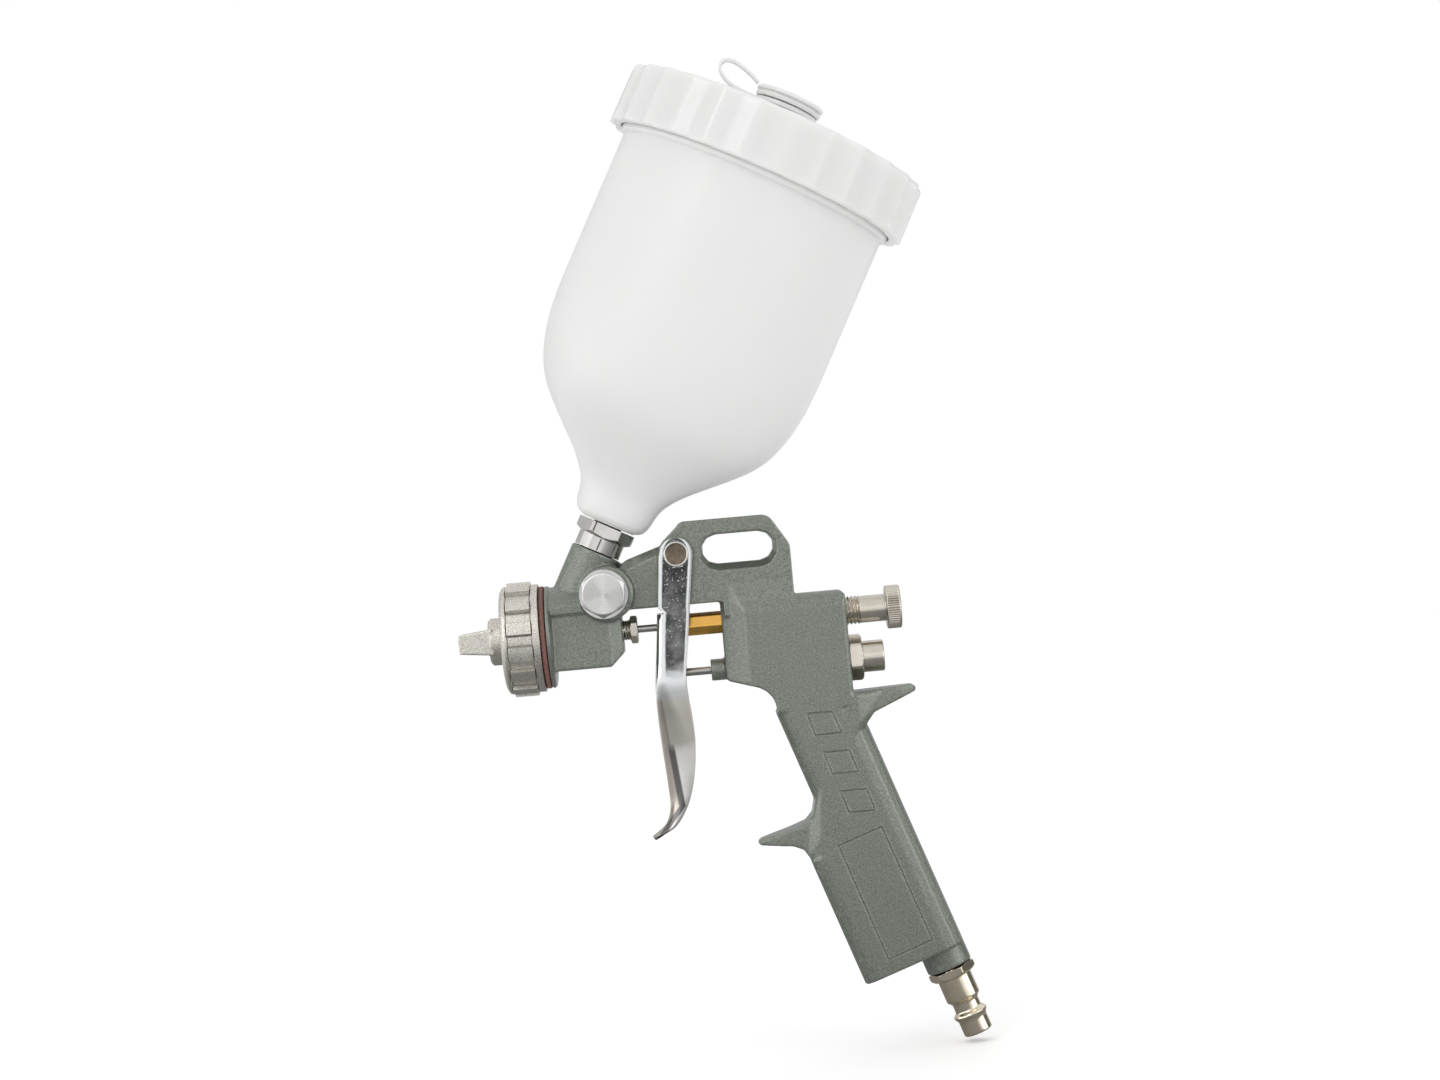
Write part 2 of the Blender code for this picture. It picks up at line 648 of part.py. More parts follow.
def trigger():
    lever = slab("trigger", trigger_silhouette(), -TRIGGER_HALF, TRIGGER_HALF, SIDE_VIEW)
    keep(lever, slab("trigger_width", trigger_front_view(0.0), 20.0, 70.0, NEEDLE_AXIS))
    channel = slab("trigger_channel", trigger_channel(), -30.0, 30.0, SIDE_VIEW)
    keep(channel, slab("channel_width", trigger_front_view(SHEET), 20.0, 70.0, NEEDLE_AXIS))
    slot = slab("needle_slot", stadium(-3.6, 2.4, -2.0, 2.0, 4), 30.0, 42.0, NEEDLE_AXIS)
    return finish(cut(lever, channel, slot, rod("trigger_eye", -12.0, 12.0, 2.5, PIVOT_AXIS)), "chrome")


def pivot_stud():
    outer = [(-9.6, 2.2), (10.2, 2.2), (10.2, 4.3), (11.7, 4.3), (12.0, 4.0)]
    stud = turned("pivot_stud", outer, PIVOT_AXIS, steps=20)
    return finish(cut(stud, rod("stud_thread", -11.0, -2.0, 1.4, PIVOT_AXIS, 12)), "dark_steel")


def pivot_screw():
    screw = [(-11.9, 3.5), (-11.5, 4.0), (-10.2, 4.0), (-10.2, 1.1), (-3.0, 1.1)]
    head = turned("pivot_screw", screw, PIVOT_AXIS, steps=SMALL_STEPS)
    slot = slab("screw_slot", [(-5.0, -0.5), (5.0, -0.5), (5.0, 0.5), (-5.0, 0.5)], -13.0, -11.0, PIVOT_AXIS)
    return finish(cut(head, slot), "dark_steel")


# Paint cup


def cup_seal():
    return finish(tube("cup_seal", -9.4, -8.0, 6.0, 4.3, CUP_AXIS, SMALL_STEPS), "seal")


def cup_fitting():
    """The threaded metal foot that clamps the cup and screws into the gun."""
    outer = [(-7.6, 5.85), (GAP, 5.85), (GAP, 8.1), (5.6, 8.1), (5.6, 5.0), (19.0, 5.0)]
    foot = turned("cup_fitting", outer, CUP_AXIS, steps=20)
    join(foot, hexagon("foot_hex", 17.6, 5.3, 9.6, CUP_AXIS, FOOT_TURN))
    return finish(cut(foot, rod("foot_bore", -9.0, 21.0, 4.0, CUP_AXIS, 20)), "chrome")


def cup_nut():
    nut = hexagon("cup_nut", 14.0, 15.4, 18.6, CUP_AXIS)
    return finish(cut(nut, rod("nut_bore", 14.0, 20.0, 5.0 + GAP, CUP_AXIS)), "chrome")


def nut_washer():
    return finish(tube("nut_washer", 14.1, 15.1, 7.8, 5.0 + GAP, CUP_AXIS, 24), "seal")


def paint_cup():
    outer = [(10.1, 9.5), (12.0, 12.4), (15.0, 13.5), (20.0, 14.3), (24.0, 16.5), (29.2, 20.8), (35.3, 27.2)]
    outer += [(41.0, 33.9), (47.7, 39.5), (55.4, 43.4), (66.0, 46.7), (79.0, CUP_R), (135.0, CUP_R)]
    outer += [(135.6, 49.0), (138.0, 49.0), (138.6, CUP_R), (154.9, CUP_R)]
    bore = [(10.1, 5.4), (13.8, 5.4), (13.8, 11.2), (18.0, 12.0), (24.0, 14.4), (29.2, 18.4), (35.3, 24.8)]
    bore += [(41.0, 31.6), (47.7, 37.2), (55.4, 41.3), (66.0, 44.7), (79.0, 45.7), (154.9, 45.7)]
    return finish(turned("paint_cup", outer, CUP_AXIS, bore, FINE_STEPS), "cup_plastic")


def paint_strainer():
    outer = [(19.4, 5.4), (21.0, 5.4), (32.0, 4.2), (34.0, 3.0), (34.6, 1.2)]
    bore = [(19.4, 4.6), (31.6, 3.4), (33.4, 2.4), (34.6, 0.4)]
    return finish(turned("paint_strainer", outer, CUP_AXIS, bore, SMALL_STEPS), "seal")


def lid_gasket():
    return finish(tube("lid_gasket", 155.2, 155.9, 47.4, 45.9, CUP_AXIS, FINE_STEPS), "seal")


def lid_outline():
    """The lid's round of shallow finger scallops."""
    points = []
    steps = LID_FLUTES * 3
    for index in range(steps):
        angle = 2 * math.pi * index / steps
        radius = LID_R - 0.8 + 0.8 * math.cos(LID_FLUTES * angle)
        points.append((radius * math.cos(angle), radius * math.sin(angle)))
    return points


def cup_lid():
    lid = slab("cup_lid", lid_outline(), 137.0, 157.4, CUP_AXIS)
    top = [(130.0, LID_R + 1.0), (156.2, LID_R + 1.0), (158.2, LID_R - 3.0)]
    keep(lid, turned("lid_top", top, CUP_AXIS, steps=FINE_STEPS))
    join(lid, rod("lid_spout", 156.8, 167.5, 7.0, CUP_AXIS, 20))
    hollow = turned("lid_hollow", [(130.0, 49.6), (154.0, 49.6), (156.2, 48.1)], CUP_AXIS, steps=FINE_STEPS)
    return finish(cut(lid, hollow, rod("vent_hole", 150.0, 170.0, 2.0, CUP_AXIS, 12)), "lid_plastic")


def vent_cap():
    outer = [(165.5, 11.6), (166.0, 12.0), (167.6, 12.0), (168.0, 10.4), (169.4, 10.2), (169.9, 9.6)]
    cap = turned("vent_cap", outer, CUP_AXIS, steps=24)
    return finish(cut(cap, rod("vent_cap_hollow", 164.0, 167.9, 7.4, CUP_AXIS, 20)), "lid_plastic")


def tether_path():
    """The middle of the strap, from the collar round the spout out and back to the cap's edge."""
    path = [(-10.0, 164.3), (-16.0, 164.6), (-21.5, 165.4)]
    path += arc((-23.6, 168.9), 3.2, 270, 90, 8)
    return path + [(-19.3, 172.2), (-14.8, 170.8), (-12.4, 169.3)]


def offset_band(path, thickness):
    """The outline of a band of this thickness along a path."""
    sides = ([], [])
    for index, (x, y) in enumerate(path):
        before = path[max(index - 1, 0)]
        after = path[min(index + 1, len(path) - 1)]
        along = (after[0] - before[0], after[1] - before[1])
        length = math.hypot(*along)
        across = (-along[1] / length * thickness / 2, along[0] / length * thickness / 2)
        sides[0].append((x + across[0], y + across[1]))
        sides[1].append((x - across[0], y - across[1]))
    return sides[0] + sides[1][::-1]


def vent_tether():
    strap = slab("vent_tether", offset_band(tether_path(), 0.9), -2.3, 2.3, CUP_SIDE_VIEW)
    collar = turned("tether_collar", [(163.6, 11.4), (165.0, 11.4)], CUP_AXIS, steps=24)
    return finish(cut(join(strap, collar), rod("tether_eye", 162.0, 166.0, 7.3, CUP_AXIS, 20)), "lid_plastic")


PIECES = (
    body_casting, fluid_nozzle, air_baffle, head_gasket, air_cap, cap_slip_washer, air_cap_ring, side_plug,
    plug_washer, needle_packing, packing_nut, needle, needle_collar, needle_spring, spring_seat, fluid_knob,
    valve_stem, stem_seal, valve_seat, poppet_seal, valve_poppet, valve_spring, valve_cap_seal, air_valve_cap,
    air_nipple, nipple_seal, trigger, pivot_stud, pivot_screw, cup_seal, cup_fitting, cup_nut, nut_washer,
    paint_cup, paint_strainer, lid_gasket, cup_lid, vent_cap, vent_tether,
)  # fmt: skip

for build_piece in PIECES:
    build_piece()
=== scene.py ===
"""Looks of the gravity-feed airbrush gun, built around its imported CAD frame.

Lengths are in millimetres and are turned into metres by MM. A piece is modelled in the local frame of its
own axis, with Z along the axis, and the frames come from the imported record's joints, mounts and boxes.
The gun frame has X rearwards along the needle from the rear plane of the air cap ring, and Z up.
"""

import json
import math

import bmesh
import bpy
import numpy as np
from mathutils import Matrix, Vector

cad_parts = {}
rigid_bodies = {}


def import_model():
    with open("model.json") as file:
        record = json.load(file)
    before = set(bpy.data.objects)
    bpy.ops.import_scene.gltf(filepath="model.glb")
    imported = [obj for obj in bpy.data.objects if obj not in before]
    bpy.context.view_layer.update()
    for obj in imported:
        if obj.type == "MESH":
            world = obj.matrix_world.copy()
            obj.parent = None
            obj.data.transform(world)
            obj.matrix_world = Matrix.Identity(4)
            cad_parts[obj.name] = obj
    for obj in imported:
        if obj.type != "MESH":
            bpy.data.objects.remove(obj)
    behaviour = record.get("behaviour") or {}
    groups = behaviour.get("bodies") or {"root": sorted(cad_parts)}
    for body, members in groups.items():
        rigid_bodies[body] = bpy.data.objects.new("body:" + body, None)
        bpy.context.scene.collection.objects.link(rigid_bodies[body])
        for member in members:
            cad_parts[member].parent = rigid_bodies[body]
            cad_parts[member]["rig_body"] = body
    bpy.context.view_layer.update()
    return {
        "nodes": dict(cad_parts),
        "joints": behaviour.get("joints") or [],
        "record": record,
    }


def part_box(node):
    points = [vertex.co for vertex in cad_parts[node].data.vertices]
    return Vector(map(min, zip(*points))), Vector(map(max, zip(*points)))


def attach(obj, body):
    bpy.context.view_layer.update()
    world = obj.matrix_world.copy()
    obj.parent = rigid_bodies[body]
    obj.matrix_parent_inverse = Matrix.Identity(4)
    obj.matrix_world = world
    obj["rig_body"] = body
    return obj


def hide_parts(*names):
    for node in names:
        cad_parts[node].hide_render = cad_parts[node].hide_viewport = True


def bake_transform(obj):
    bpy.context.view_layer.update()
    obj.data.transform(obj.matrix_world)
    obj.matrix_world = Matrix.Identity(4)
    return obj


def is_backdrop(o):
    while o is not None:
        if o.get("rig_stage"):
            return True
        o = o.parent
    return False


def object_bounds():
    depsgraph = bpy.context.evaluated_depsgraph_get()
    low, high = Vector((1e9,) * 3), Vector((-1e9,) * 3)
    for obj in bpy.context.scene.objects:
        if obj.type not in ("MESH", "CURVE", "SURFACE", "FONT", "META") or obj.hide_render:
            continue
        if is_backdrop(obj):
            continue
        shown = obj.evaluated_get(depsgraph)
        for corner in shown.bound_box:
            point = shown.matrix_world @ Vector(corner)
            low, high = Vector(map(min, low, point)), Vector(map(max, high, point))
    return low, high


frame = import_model()

MM = 0.001
JOINTS = {joint["name"]: joint for joint in frame["joints"]}
MOUNTS = {mount["name"]: mount for mount in frame["record"]["mounts"]}


# Frames


def frame_along(origin, axis, across=(0.0, 1.0, 0.0)):
    """A frame at origin with Z along axis and Y as near to across as it can be."""
    z = Vector(axis).normalized()
    x = Vector(across).cross(z).normalized()
    y = z.cross(x)
    made = Matrix((x, y, z)).transposed().to_4x4()
    made.translation = Vector(origin)
    return made


def box_middle(node):
    low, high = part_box(node)
    return (low + high) / 2


RING_BACK_GAP = 0.1 * MM
NIPPLE_LENGTH = 24.4
NEEDLE_Z = JOINTS["ring_turn"]["pos_m"][2]
GUN_AT = Vector((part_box("air_cap_ring")[1].x + RING_BACK_GAP, 0.0, NEEDLE_Z))
GUN = Matrix.Translation(GUN_AT)
TO_SIDE = Matrix.Rotation(math.radians(90), 4, "X")  # turns Z toward the camera's side
NEEDLE = frame_along(GUN_AT, (1, 0, 0))
VALVE = frame_along((GUN_AT.x, 0.0, box_middle("valve_stem").z), (1, 0, 0))
CUP = frame_along(JOINTS["cup_turn"]["pos_m"], JOINTS["cup_turn"]["axis"])
CUP_SIDE = CUP @ TO_SIDE
PLUG = Matrix.Translation((box_middle("side_plug").x, 0.0, box_middle("side_plug").z)) @ TO_SIDE
PIVOT = Matrix.Translation(Vector(JOINTS["trigger_pull"]["pos_m"])) @ TO_SIDE
INLET_AXIS = Vector(MOUNTS["air_inlet"]["axis"]).normalized()
INLET_TIP = Vector(MOUNTS["air_inlet"]["pos_m"])
INLET_AT = Vector((INLET_TIP.x, 0.0, INLET_TIP.z)) - INLET_AXIS * NIPPLE_LENGTH * MM
INLET = frame_along(INLET_AT, INLET_AXIS)


# Shape tools


def soften(points, radius, closed=False, steps=3):
    """Rounds the corners of a run of 2D points."""
    count = len(points)
    made = []
    for index, point in enumerate(points):
        inner = closed or 0 < index < count - 1
        before = Vector(points[index - 1])
        here = Vector(point)
        after = Vector(points[(index + 1) % count])
        if not inner or (here - before).length < 1e-6 or (after - here).length < 1e-6:
            made.append(tuple(point))
            continue
        if (here - before).angle(after - here) < math.radians(9):
            made.append(tuple(point))
            continue
        reach = min(radius, (here - before).length * 0.45, (after - here).length * 0.45)
        start = here + (before - here).normalized() * reach
        end = here + (after - here).normalized() * reach
        for step in range(steps + 1):
            t = step / steps
            made.append(tuple(start * (1 - t) ** 2 + here * 2 * t * (1 - t) + end * t * t))
    return made


def smooth_path(points, per_span=5):
    """A Catmull-Rom curve through points of any size."""
    points = [np.array(point, float) for point in points]
    padded = [2 * points[0] - points[1]] + points + [2 * points[-1] - points[-2]]
    made = []
    for index in range(len(points) - 1):
        a, b, c, d = padded[index : index + 4]
        for step in range(per_span):
            t = step / per_span
            curve = (2 * a - 5 * b + 4 * c - d) * t**2 + (3 * b - a - 3 * c + d) * t**3
            made.append(0.5 * (2 * b + (c - a) * t + curve))
    made.append(points[-1])
    return [tuple(float(value) for value in point) for point in made]


def resample(points, step):
    """Adds points so that no stretch is longer than step."""
    made = [points[0]]
    for before, after in zip(points, points[1:]):
        length = math.dist(before, after)
        parts = max(1, math.ceil(length / step - 1e-6))
        for part in range(1, parts + 1):
            t = part / parts
            made.append(tuple(a + (b - a) * t for a, b in zip(before, after)))
    return made


def smoothstep(low, high, value):
    t = min(1.0, max(0.0, (value - low) / (high - low)))
    return t * t * (3 - 2 * t)


def solid(name, shape, place, angle=33):
    """Turns a bmesh in millimetres into an object in its frame, smooth but for its real edges."""
    bmesh.ops.recalc_face_normals(shape, faces=shape.faces)
    mesh = bpy.data.meshes.new(name)
    shape.to_mesh(mesh)
    shape.free()
    mesh.transform(Matrix.Scale(MM, 4))
    mesh.shade_smooth()
    mesh.set_sharp_from_angle(angle=math.radians(angle))
    made = bpy.data.objects.new(name, mesh)
    bpy.context.scene.collection.objects.link(made)
    made.matrix_world = place
    return made


def columns(turn, count=96):
    """Even angles round the axis, in degrees, from turn onwards."""
    return [turn + 360 * index / count for index in range(count)]


def lathe(name, outer, place, bore=None, segments=96, edge=0.2, wave=None, step=None, angles=None, sharp=33):
    """Turns (height, radius) points, listed upwards, about the frame's Z. wave(angle, height, radius) may
    change each radius of the outside, step adds rows, and angles lists the columns in degrees."""
    outside = soften(outer, edge)
    if step:
        outside = resample(outside, step)
    inside = soften(bore, edge)[::-1] if bore else []
    if bore:
        corner = min(edge, 0.3)
        first, last = outside[0], outside[-1]
        outside[0] = (first[0], first[1] - corner)
        outside.insert(1, (first[0] + corner, first[1]))
        outside[-1] = (last[0] - corner, last[1])
        outside.append((last[0], last[1] - corner))
    angles = [math.radians(value) for value in angles or columns(0.0, segments)]
    shape = bmesh.new()
    rows = []
    for index, (height, radius) in enumerate(outside + inside):
        if radius < 1e-6:
            rows.append([shape.verts.new((0.0, 0.0, height))])
            continue
        row = []
        for angle in angles:
            reach = wave(angle, height, radius) if wave and index < len(outside) else radius
            row.append(shape.verts.new((reach * math.cos(angle), reach * math.sin(angle), height)))
        rows.append(row)
    pairs = list(zip(rows, rows[1:]))
    if bore:
        pairs.append((rows[-1], rows[0]))
    count = len(angles)
    for low, high in pairs:
        for index in range(count):
            after = (index + 1) % count
            if len(low) == 1:
                shape.faces.new((low[0], high[after], high[index]))
            elif len(high) == 1:
                shape.faces.new((low[index], low[after], high[0]))
            else:
                shape.faces.new((low[index], low[after], high[after], high[index]))
    if not bore:
        for row in (rows[0], rows[-1]):
            if len(row) > 1:
                shape.faces.new(row)
    return solid(name, shape, place, sharp)


def hexagonal(flats, low, high, turn=0.0):
    """A wave that trims the stretch from low to high to a hexagon whose corners start at turn degrees."""
    corner = flats / 2 / math.cos(math.pi / 6) - 0.12

    def wave(angle, height, radius):
        if not low - 1e-4 <= height <= high + 1e-4:
            return radius
        fold = (angle - math.radians(turn)) % (math.pi / 3) - math.pi / 6
        return min(radius, corner, flats / 2 / math.cos(fold))

    return wave


def threaded(low, high, pitch, depth):
    """A wave that cuts a right-hand thread from low to high, running out at both ends."""

    def wave(angle, height, radius):
        ends = smoothstep(low, low + pitch / 2, height) * (1 - smoothstep(high - pitch / 2, high, height))
        turn = (height / pitch - angle / (2 * math.pi)) % 1.0
        return radius - depth * ends * min(1.0, 1.25 * abs(2 * turn - 1))

    return wave


def both_waves(*waves):
    def wave(angle, height, radius):
        for one in waves:
            radius = one(angle, height, radius)
        return radius

    return wave


def beyond(least, wave):
    """This wave, but only where the radius is over least."""
    return lambda angle, height, radius: wave(angle, height, radius) if radius > least else radius


def plate(name, outline, low, high, place, bevel=0.25):
    """A flat outline made solid from low to high along the frame's Z, with rounded edges."""
    shape = bmesh.new()
    bottom = [shape.verts.new((x, y, low)) for x, y in outline]
    top = [shape.verts.new((x, y, high)) for x, y in outline]
    count = len(outline)
    shape.faces.new(bottom[::-1])
    shape.faces.new(top)
    for index in range(count):
        after = (index + 1) % count
        shape.faces.new((bottom[index], bottom[after], top[after], top[index]))
    rims = [edge for edge in shape.edges if edge.calc_face_angle(0.0) > math.radians(40)]
    if bevel:
        bmesh.ops.bevel(
            shape, geom=rims, offset=bevel, segments=2, profile=0.5, affect="EDGES", clamp_overlap=True
        )
    return solid(name, shape, place)


def apply_modifiers(obj):
    bpy.context.view_layer.update()
    graph = bpy.context.evaluated_depsgraph_get()
    mesh = bpy.data.meshes.new_from_object(obj.evaluated_get(graph))
    obj.modifiers.clear()
    obj.data = mesh
    return obj


def remove(*objects):
    for obj in objects:
        bpy.data.objects.remove(obj, do_unlink=True)


def boolean(obj, operation, *others):
    for other in others:
        made = obj.modifiers.new("boolean", "BOOLEAN")
        made.operation = operation
        made.solver = "EXACT"
        made.object = other
    apply_modifiers(obj)
    remove(*others)
    return obj


def fuse(obj, voxel, rounds, *others):
    """Joins closed shapes that overlap, then rounds every edge a little, as a casting's are."""
    for other in others:
        other.data.transform(obj.matrix_world.inverted() @ other.matrix_world)
    shape = bmesh.new()
    shape.from_mesh(obj.data)
    for other in others:
        shape.from_mesh(other.data)
    shape.to_mesh(obj.data)
    shape.free()
    remove(*others)
    remesh = obj.modifiers.new("voxels", "REMESH")
    remesh.mode = "VOXEL"
    remesh.voxel_size = voxel * MM
    smooth = obj.modifiers.new("smooth", "SMOOTH")
    smooth.factor = 0.5
    smooth.iterations = rounds
    apply_modifiers(obj)
    obj.data.shade_smooth()
    return obj


def hull(name, points, place):
    shape = bmesh.new()
    for point in points:
        shape.verts.new(point)
    bmesh.ops.convex_hull(shape, input=shape.verts)
    return solid(name, shape, place)


# Materials

CHEEK_FOOT = -21.0  # where the trigger's flat cheeks end, in the gun's height
# Painted reflection: the trigger web's tan strip, dark streak and bright band stand in for the room mirrored
# in the chrome.
REFLECTION_STREAK_TOP = (-37.5, -41.0)  # heights between which the streak on the trigger's web begins
REFLECTION_STREAK_SPAN = 10.0  # the distance across the web that its colours are spread over


class Nodes:
    """A shader node tree that is built up by calls."""

    def __init__(self, tree):
        self.tree = tree

    def node(self, kind, inputs=(), **settings):
        """Adds a node with these settings and feeds its inputs, given as a dictionary of name or number."""
        made = self.tree.nodes.new("ShaderNode" + kind)
        for key, value in settings.items():
            setattr(made, key, value)
        for key in inputs:
            self.feed(made.inputs[key], inputs[key])
        return made

    def feed(self, socket, value):
        """Puts a number, a colour or another node's output into a socket."""
        if isinstance(value, bpy.types.NodeSocket):
            self.tree.links.new(value, socket)
        elif socket.type == "RGBA":
            socket.default_value = (*value, 1.0)
        else:
            socket.default_value = value

    def maths(self, operation, a, b=0.0):
        return self.node("Math", {0: a, 1: b}, operation=operation).outputs[0]

    def mix(self, factor, a, b, blend="MIX"):
        inputs = {"Factor": factor, 6: a, 7: b}
        return self.node("Mix", inputs, data_type="RGBA", blend_type=blend).outputs[2]

    def ramp(self, value, *stops):
        """Maps 0 to 1 through (position, value or colour) stops."""
        made = self.node("ValToRGB", {"Fac": value})
        elements = made.color_ramp.elements
        while len(elements) < len(stops):
            elements.new(0.5)
        for element, (position, colour) in zip(elements, stops):
            element.position = position
            element.color = (*(colour if isinstance(colour, tuple) else (colour,) * 3), 1.0)
        return made.outputs["Color"]

    def length(self, vector):
        return self.node("VectorMath", {0: vector}, operation="LENGTH").outputs["Value"]

    def blend_over(self, value, start, end):
        """0 where value is at start, 1 where it is at end."""
        return self.node("MapRange", {"Value": value, "From Min": start, "From Max": end}).outputs[0]


class Look(Nodes):
    """One procedural material around a Principled shader. Coordinates are the piece's own, in metres."""

    def __init__(self, name, colour, metallic, roughness):
        self.material = bpy.data.materials.new(name)
        self.material.use_nodes = True
        super().__init__(self.material.node_tree)
        self.shader = self.tree.nodes["Principled BSDF"]
        self.where = self.node("TexCoord").outputs["Object"]
        self.set("Base Color", colour)
        self.set("Metallic", metallic)
        self.set("Roughness", roughness)

    def set(self, name, value):
        self.feed(self.shader.inputs[name], value)

    def noise(self, size, detail=2.0, roughness=0.5, stretch=None):
        """Noise from 0 to 1 with features of about this many millimetres, stretched along each axis."""
        where = self.where
        if stretch:
            scale = tuple(1 / value for value in stretch)
            where = self.node("Mapping", {"Vector": where, "Scale": scale}).outputs["Vector"]
        inputs = {"Vector": where, "Scale": 1 / (size * MM), "Detail": detail, "Roughness": roughness}
        return self.node("TexNoise", inputs).outputs["Fac"]

    def cells(self, size):
        """The distance to the middle of each of many cells of this many millimetres, from 0 up."""
        return self.node("TexVoronoi", {"Vector": self.where, "Scale": 1 / (size * MM)}).outputs["Distance"]

    def bump(self, height, depth, strength=1.0, under=None):
        """A normal from a height of this many millimetres."""
        inputs = {"Distance": depth * MM, "Strength": strength, "Height": height}
        if under:
            inputs["Normal"] = under
        return self.node("Bump", inputs).outputs["Normal"]

    def creases(self, reach):
        """From 0 in a tight corner to 1 in the open, for painting shade into corners."""
        return self.node("AmbientOcclusion", {"Distance": reach * MM}, samples=6).outputs["AO"]

    def reach(self):
        """The distance from the piece's own Z axis."""
        flat = self.node("VectorMath", {0: self.where, 1: (1.0, 1.0, 0.0)}, operation="MULTIPLY")
        return self.length(flat.outputs[0])

    def edges(self):
        """1 on outer edges and 0 elsewhere, for a highlight painted along them."""
        return self.ramp(self.node("NewGeometry").outputs["Pointiness"], (0.52, 0.0), (0.6, 1.0))


def enamel():
    """Hammered grey-green enamel with metal flake, with a painted highlight along its edges and painted
    shade in its corners.
    """
    look = Look("hammered_enamel", (0.2, 0.22, 0.19), 0.25, 0.45)
    grain = look.noise(0.55, 3.0, 0.6)
    blotch = look.noise(9.0, 2.0)
    base = look.mix(look.ramp(grain, (0.3, 0.0), (0.7, 1.0)), (0.12, 0.138, 0.118), (0.305, 0.331, 0.289))
    base = look.mix(look.ramp(blotch, (0.35, 0.0), (0.75, 0.35)), base, (0.235, 0.245, 0.21))
    flake = look.ramp(look.cells(0.42), (0.0, 1.0), (0.16, 0.0))
    chosen = look.ramp(look.noise(0.8, 1.0), (0.56, 0.0), (0.62, 1.0))
    flake = look.maths("MULTIPLY", flake, chosen)
    base = look.mix(flake, base, (0.56, 0.58, 0.53))
    # Painted highlight: the outer edges are lightened as if they catch the light.
    painted_sheen = look.maths("MULTIPLY", look.edges(), 0.45)
    base = look.mix(painted_sheen, base, (0.42, 0.44, 0.4))
    # Painted shade: corners and creases are darkened.
    corner = look.ramp(look.creases(2.2), (0.25, 0.35), (0.8, 1.0))
    base = look.mix(1.0, base, corner, "MULTIPLY")
    look.set("Base Color", base)
    look.set("Metallic", look.ramp(flake, (0.0, 0.6), (1.0, 0.9)))
    look.set("Roughness", look.ramp(grain, (0.2, 0.3), (0.8, 0.46)))
    coarse = look.bump(look.noise(1.5, 2.0), 0.12, 0.7)
    look.set("Normal", look.bump(grain, 0.08, 0.8, coarse))
    look.set("Coat Weight", 0.3)
    look.set("Coat Roughness", 0.24)
    return look.material


def blasted_nickel():
    """Satin nickel over a bead-blasted surface, with painted shade in its corners."""
    look = Look("blasted_nickel", (0.62, 0.59, 0.52), 1.0, 0.4)
    pebble = look.noise(0.34, 2.0, 0.65)
    base = look.mix(look.ramp(pebble, (0.3, 0.0), (0.66, 1.0)), (0.42, 0.4, 0.355), (0.98, 0.95, 0.88))
    # Painted shade: corners and creases are darkened.
    corner = look.ramp(look.creases(0.8), (0.3, 0.25), (0.85, 1.0))
    look.set("Base Color", look.mix(1.0, base, corner, "MULTIPLY"))
    look.set("Roughness", look.ramp(look.noise(3.0), (0.3, 0.36), (0.7, 0.5)))
    look.set("Normal", look.bump(pebble, 0.07, 0.9))
    return look.material


def trigger_chrome():
    """Chromed sheet: the cheeks are cool, flat and pitted. The web below them is duller, and painted
    reflections make it warmer: a tan front strip, and low down a dark streak along its middle and a bright
    band behind it."""
    look = Look("trigger_chrome", (0.8, 0.79, 0.78), 1.0, 0.09)
    apart = look.node("SeparateXYZ", {0: look.where})
    ragged = look.maths("ADD", apart.outputs[2], look.maths("MULTIPLY", look.noise(3.0, 3.0), 4.0 * MM))
    web = look.blend_over(ragged, CHEEK_FOOT * MM, (CHEEK_FOOT - 2.5) * MM)
    pits = look.ramp(look.cells(0.75), (0.0, 1.0), (0.2, 0.0))
    scatter = look.ramp(look.noise(2.4, 3.0, 0.7), (0.5, 0.0), (0.58, 1.0))
    pits = look.maths("MULTIPLY", pits, scatter)
    pits = look.maths("MULTIPLY", pits, look.maths("SUBTRACT", 1.0, web))
    cloud = look.noise(7.0, 3.0)
    cheek = look.mix(cloud, (0.72, 0.73, 0.745), (0.82, 0.825, 0.83))
    x, z = (look.maths("DIVIDE", apart.outputs[axis], MM) for axis in (0, 2))
    # The painted reflected streak leans back on its way down, then turns forward with the tip.
    leaning = look.maths("SUBTRACT", 36.7, look.maths("MULTIPLY", z, 0.1))
    turning = look.maths("ADD", 91.6, look.maths("MULTIPLY", z, 0.8))
    behind = look.maths("SUBTRACT", x, look.maths("MINIMUM", leaning, turning))
    across = look.maths("ADD", look.maths("DIVIDE", behind, REFLECTION_STREAK_SPAN), 0.5)
    # Painted reflections of the room: tan, dark grey and white bands.
    tan, dun, cream = (0.5, 0.46, 0.41), (0.42, 0.39, 0.35), (0.7, 0.67, 0.61)
    grey, white = (0.17, 0.165, 0.16), (0.95, 0.94, 0.92)
    above = look.ramp(across, (0.36, tan), (0.44, dun), (0.5, cream))
    below = look.ramp(across, (0.34, tan), (0.39, grey), (0.56, grey), (0.62, white))
    ragged = look.maths("ADD", z, look.maths("MULTIPLY", look.noise(1.5, 3.0), 3.0))
    # Painted reflections: the upper bands give way to the lower ones down the web.
    painted_sheen = look.mix(look.blend_over(ragged, *REFLECTION_STREAK_TOP), above, below)
    look.set("Base Color", look.mix(pits, look.mix(web, cheek, painted_sheen), (0.9, 0.88, 0.84)))
    smooth = look.ramp(cloud, (0.35, 0.06), (0.7, 0.12))
    dull = look.maths("ADD", look.maths("MULTIPLY", pits, 0.5), look.maths("MULTIPLY", web, 0.1))
    look.set("Roughness", look.maths("ADD", smooth, dull))
    wavy = look.bump(look.noise(6.0, 2.0), 0.05, 0.5)
    look.set("Normal", look.bump(pits, 0.12, 0.9, wavy))
    return look.material


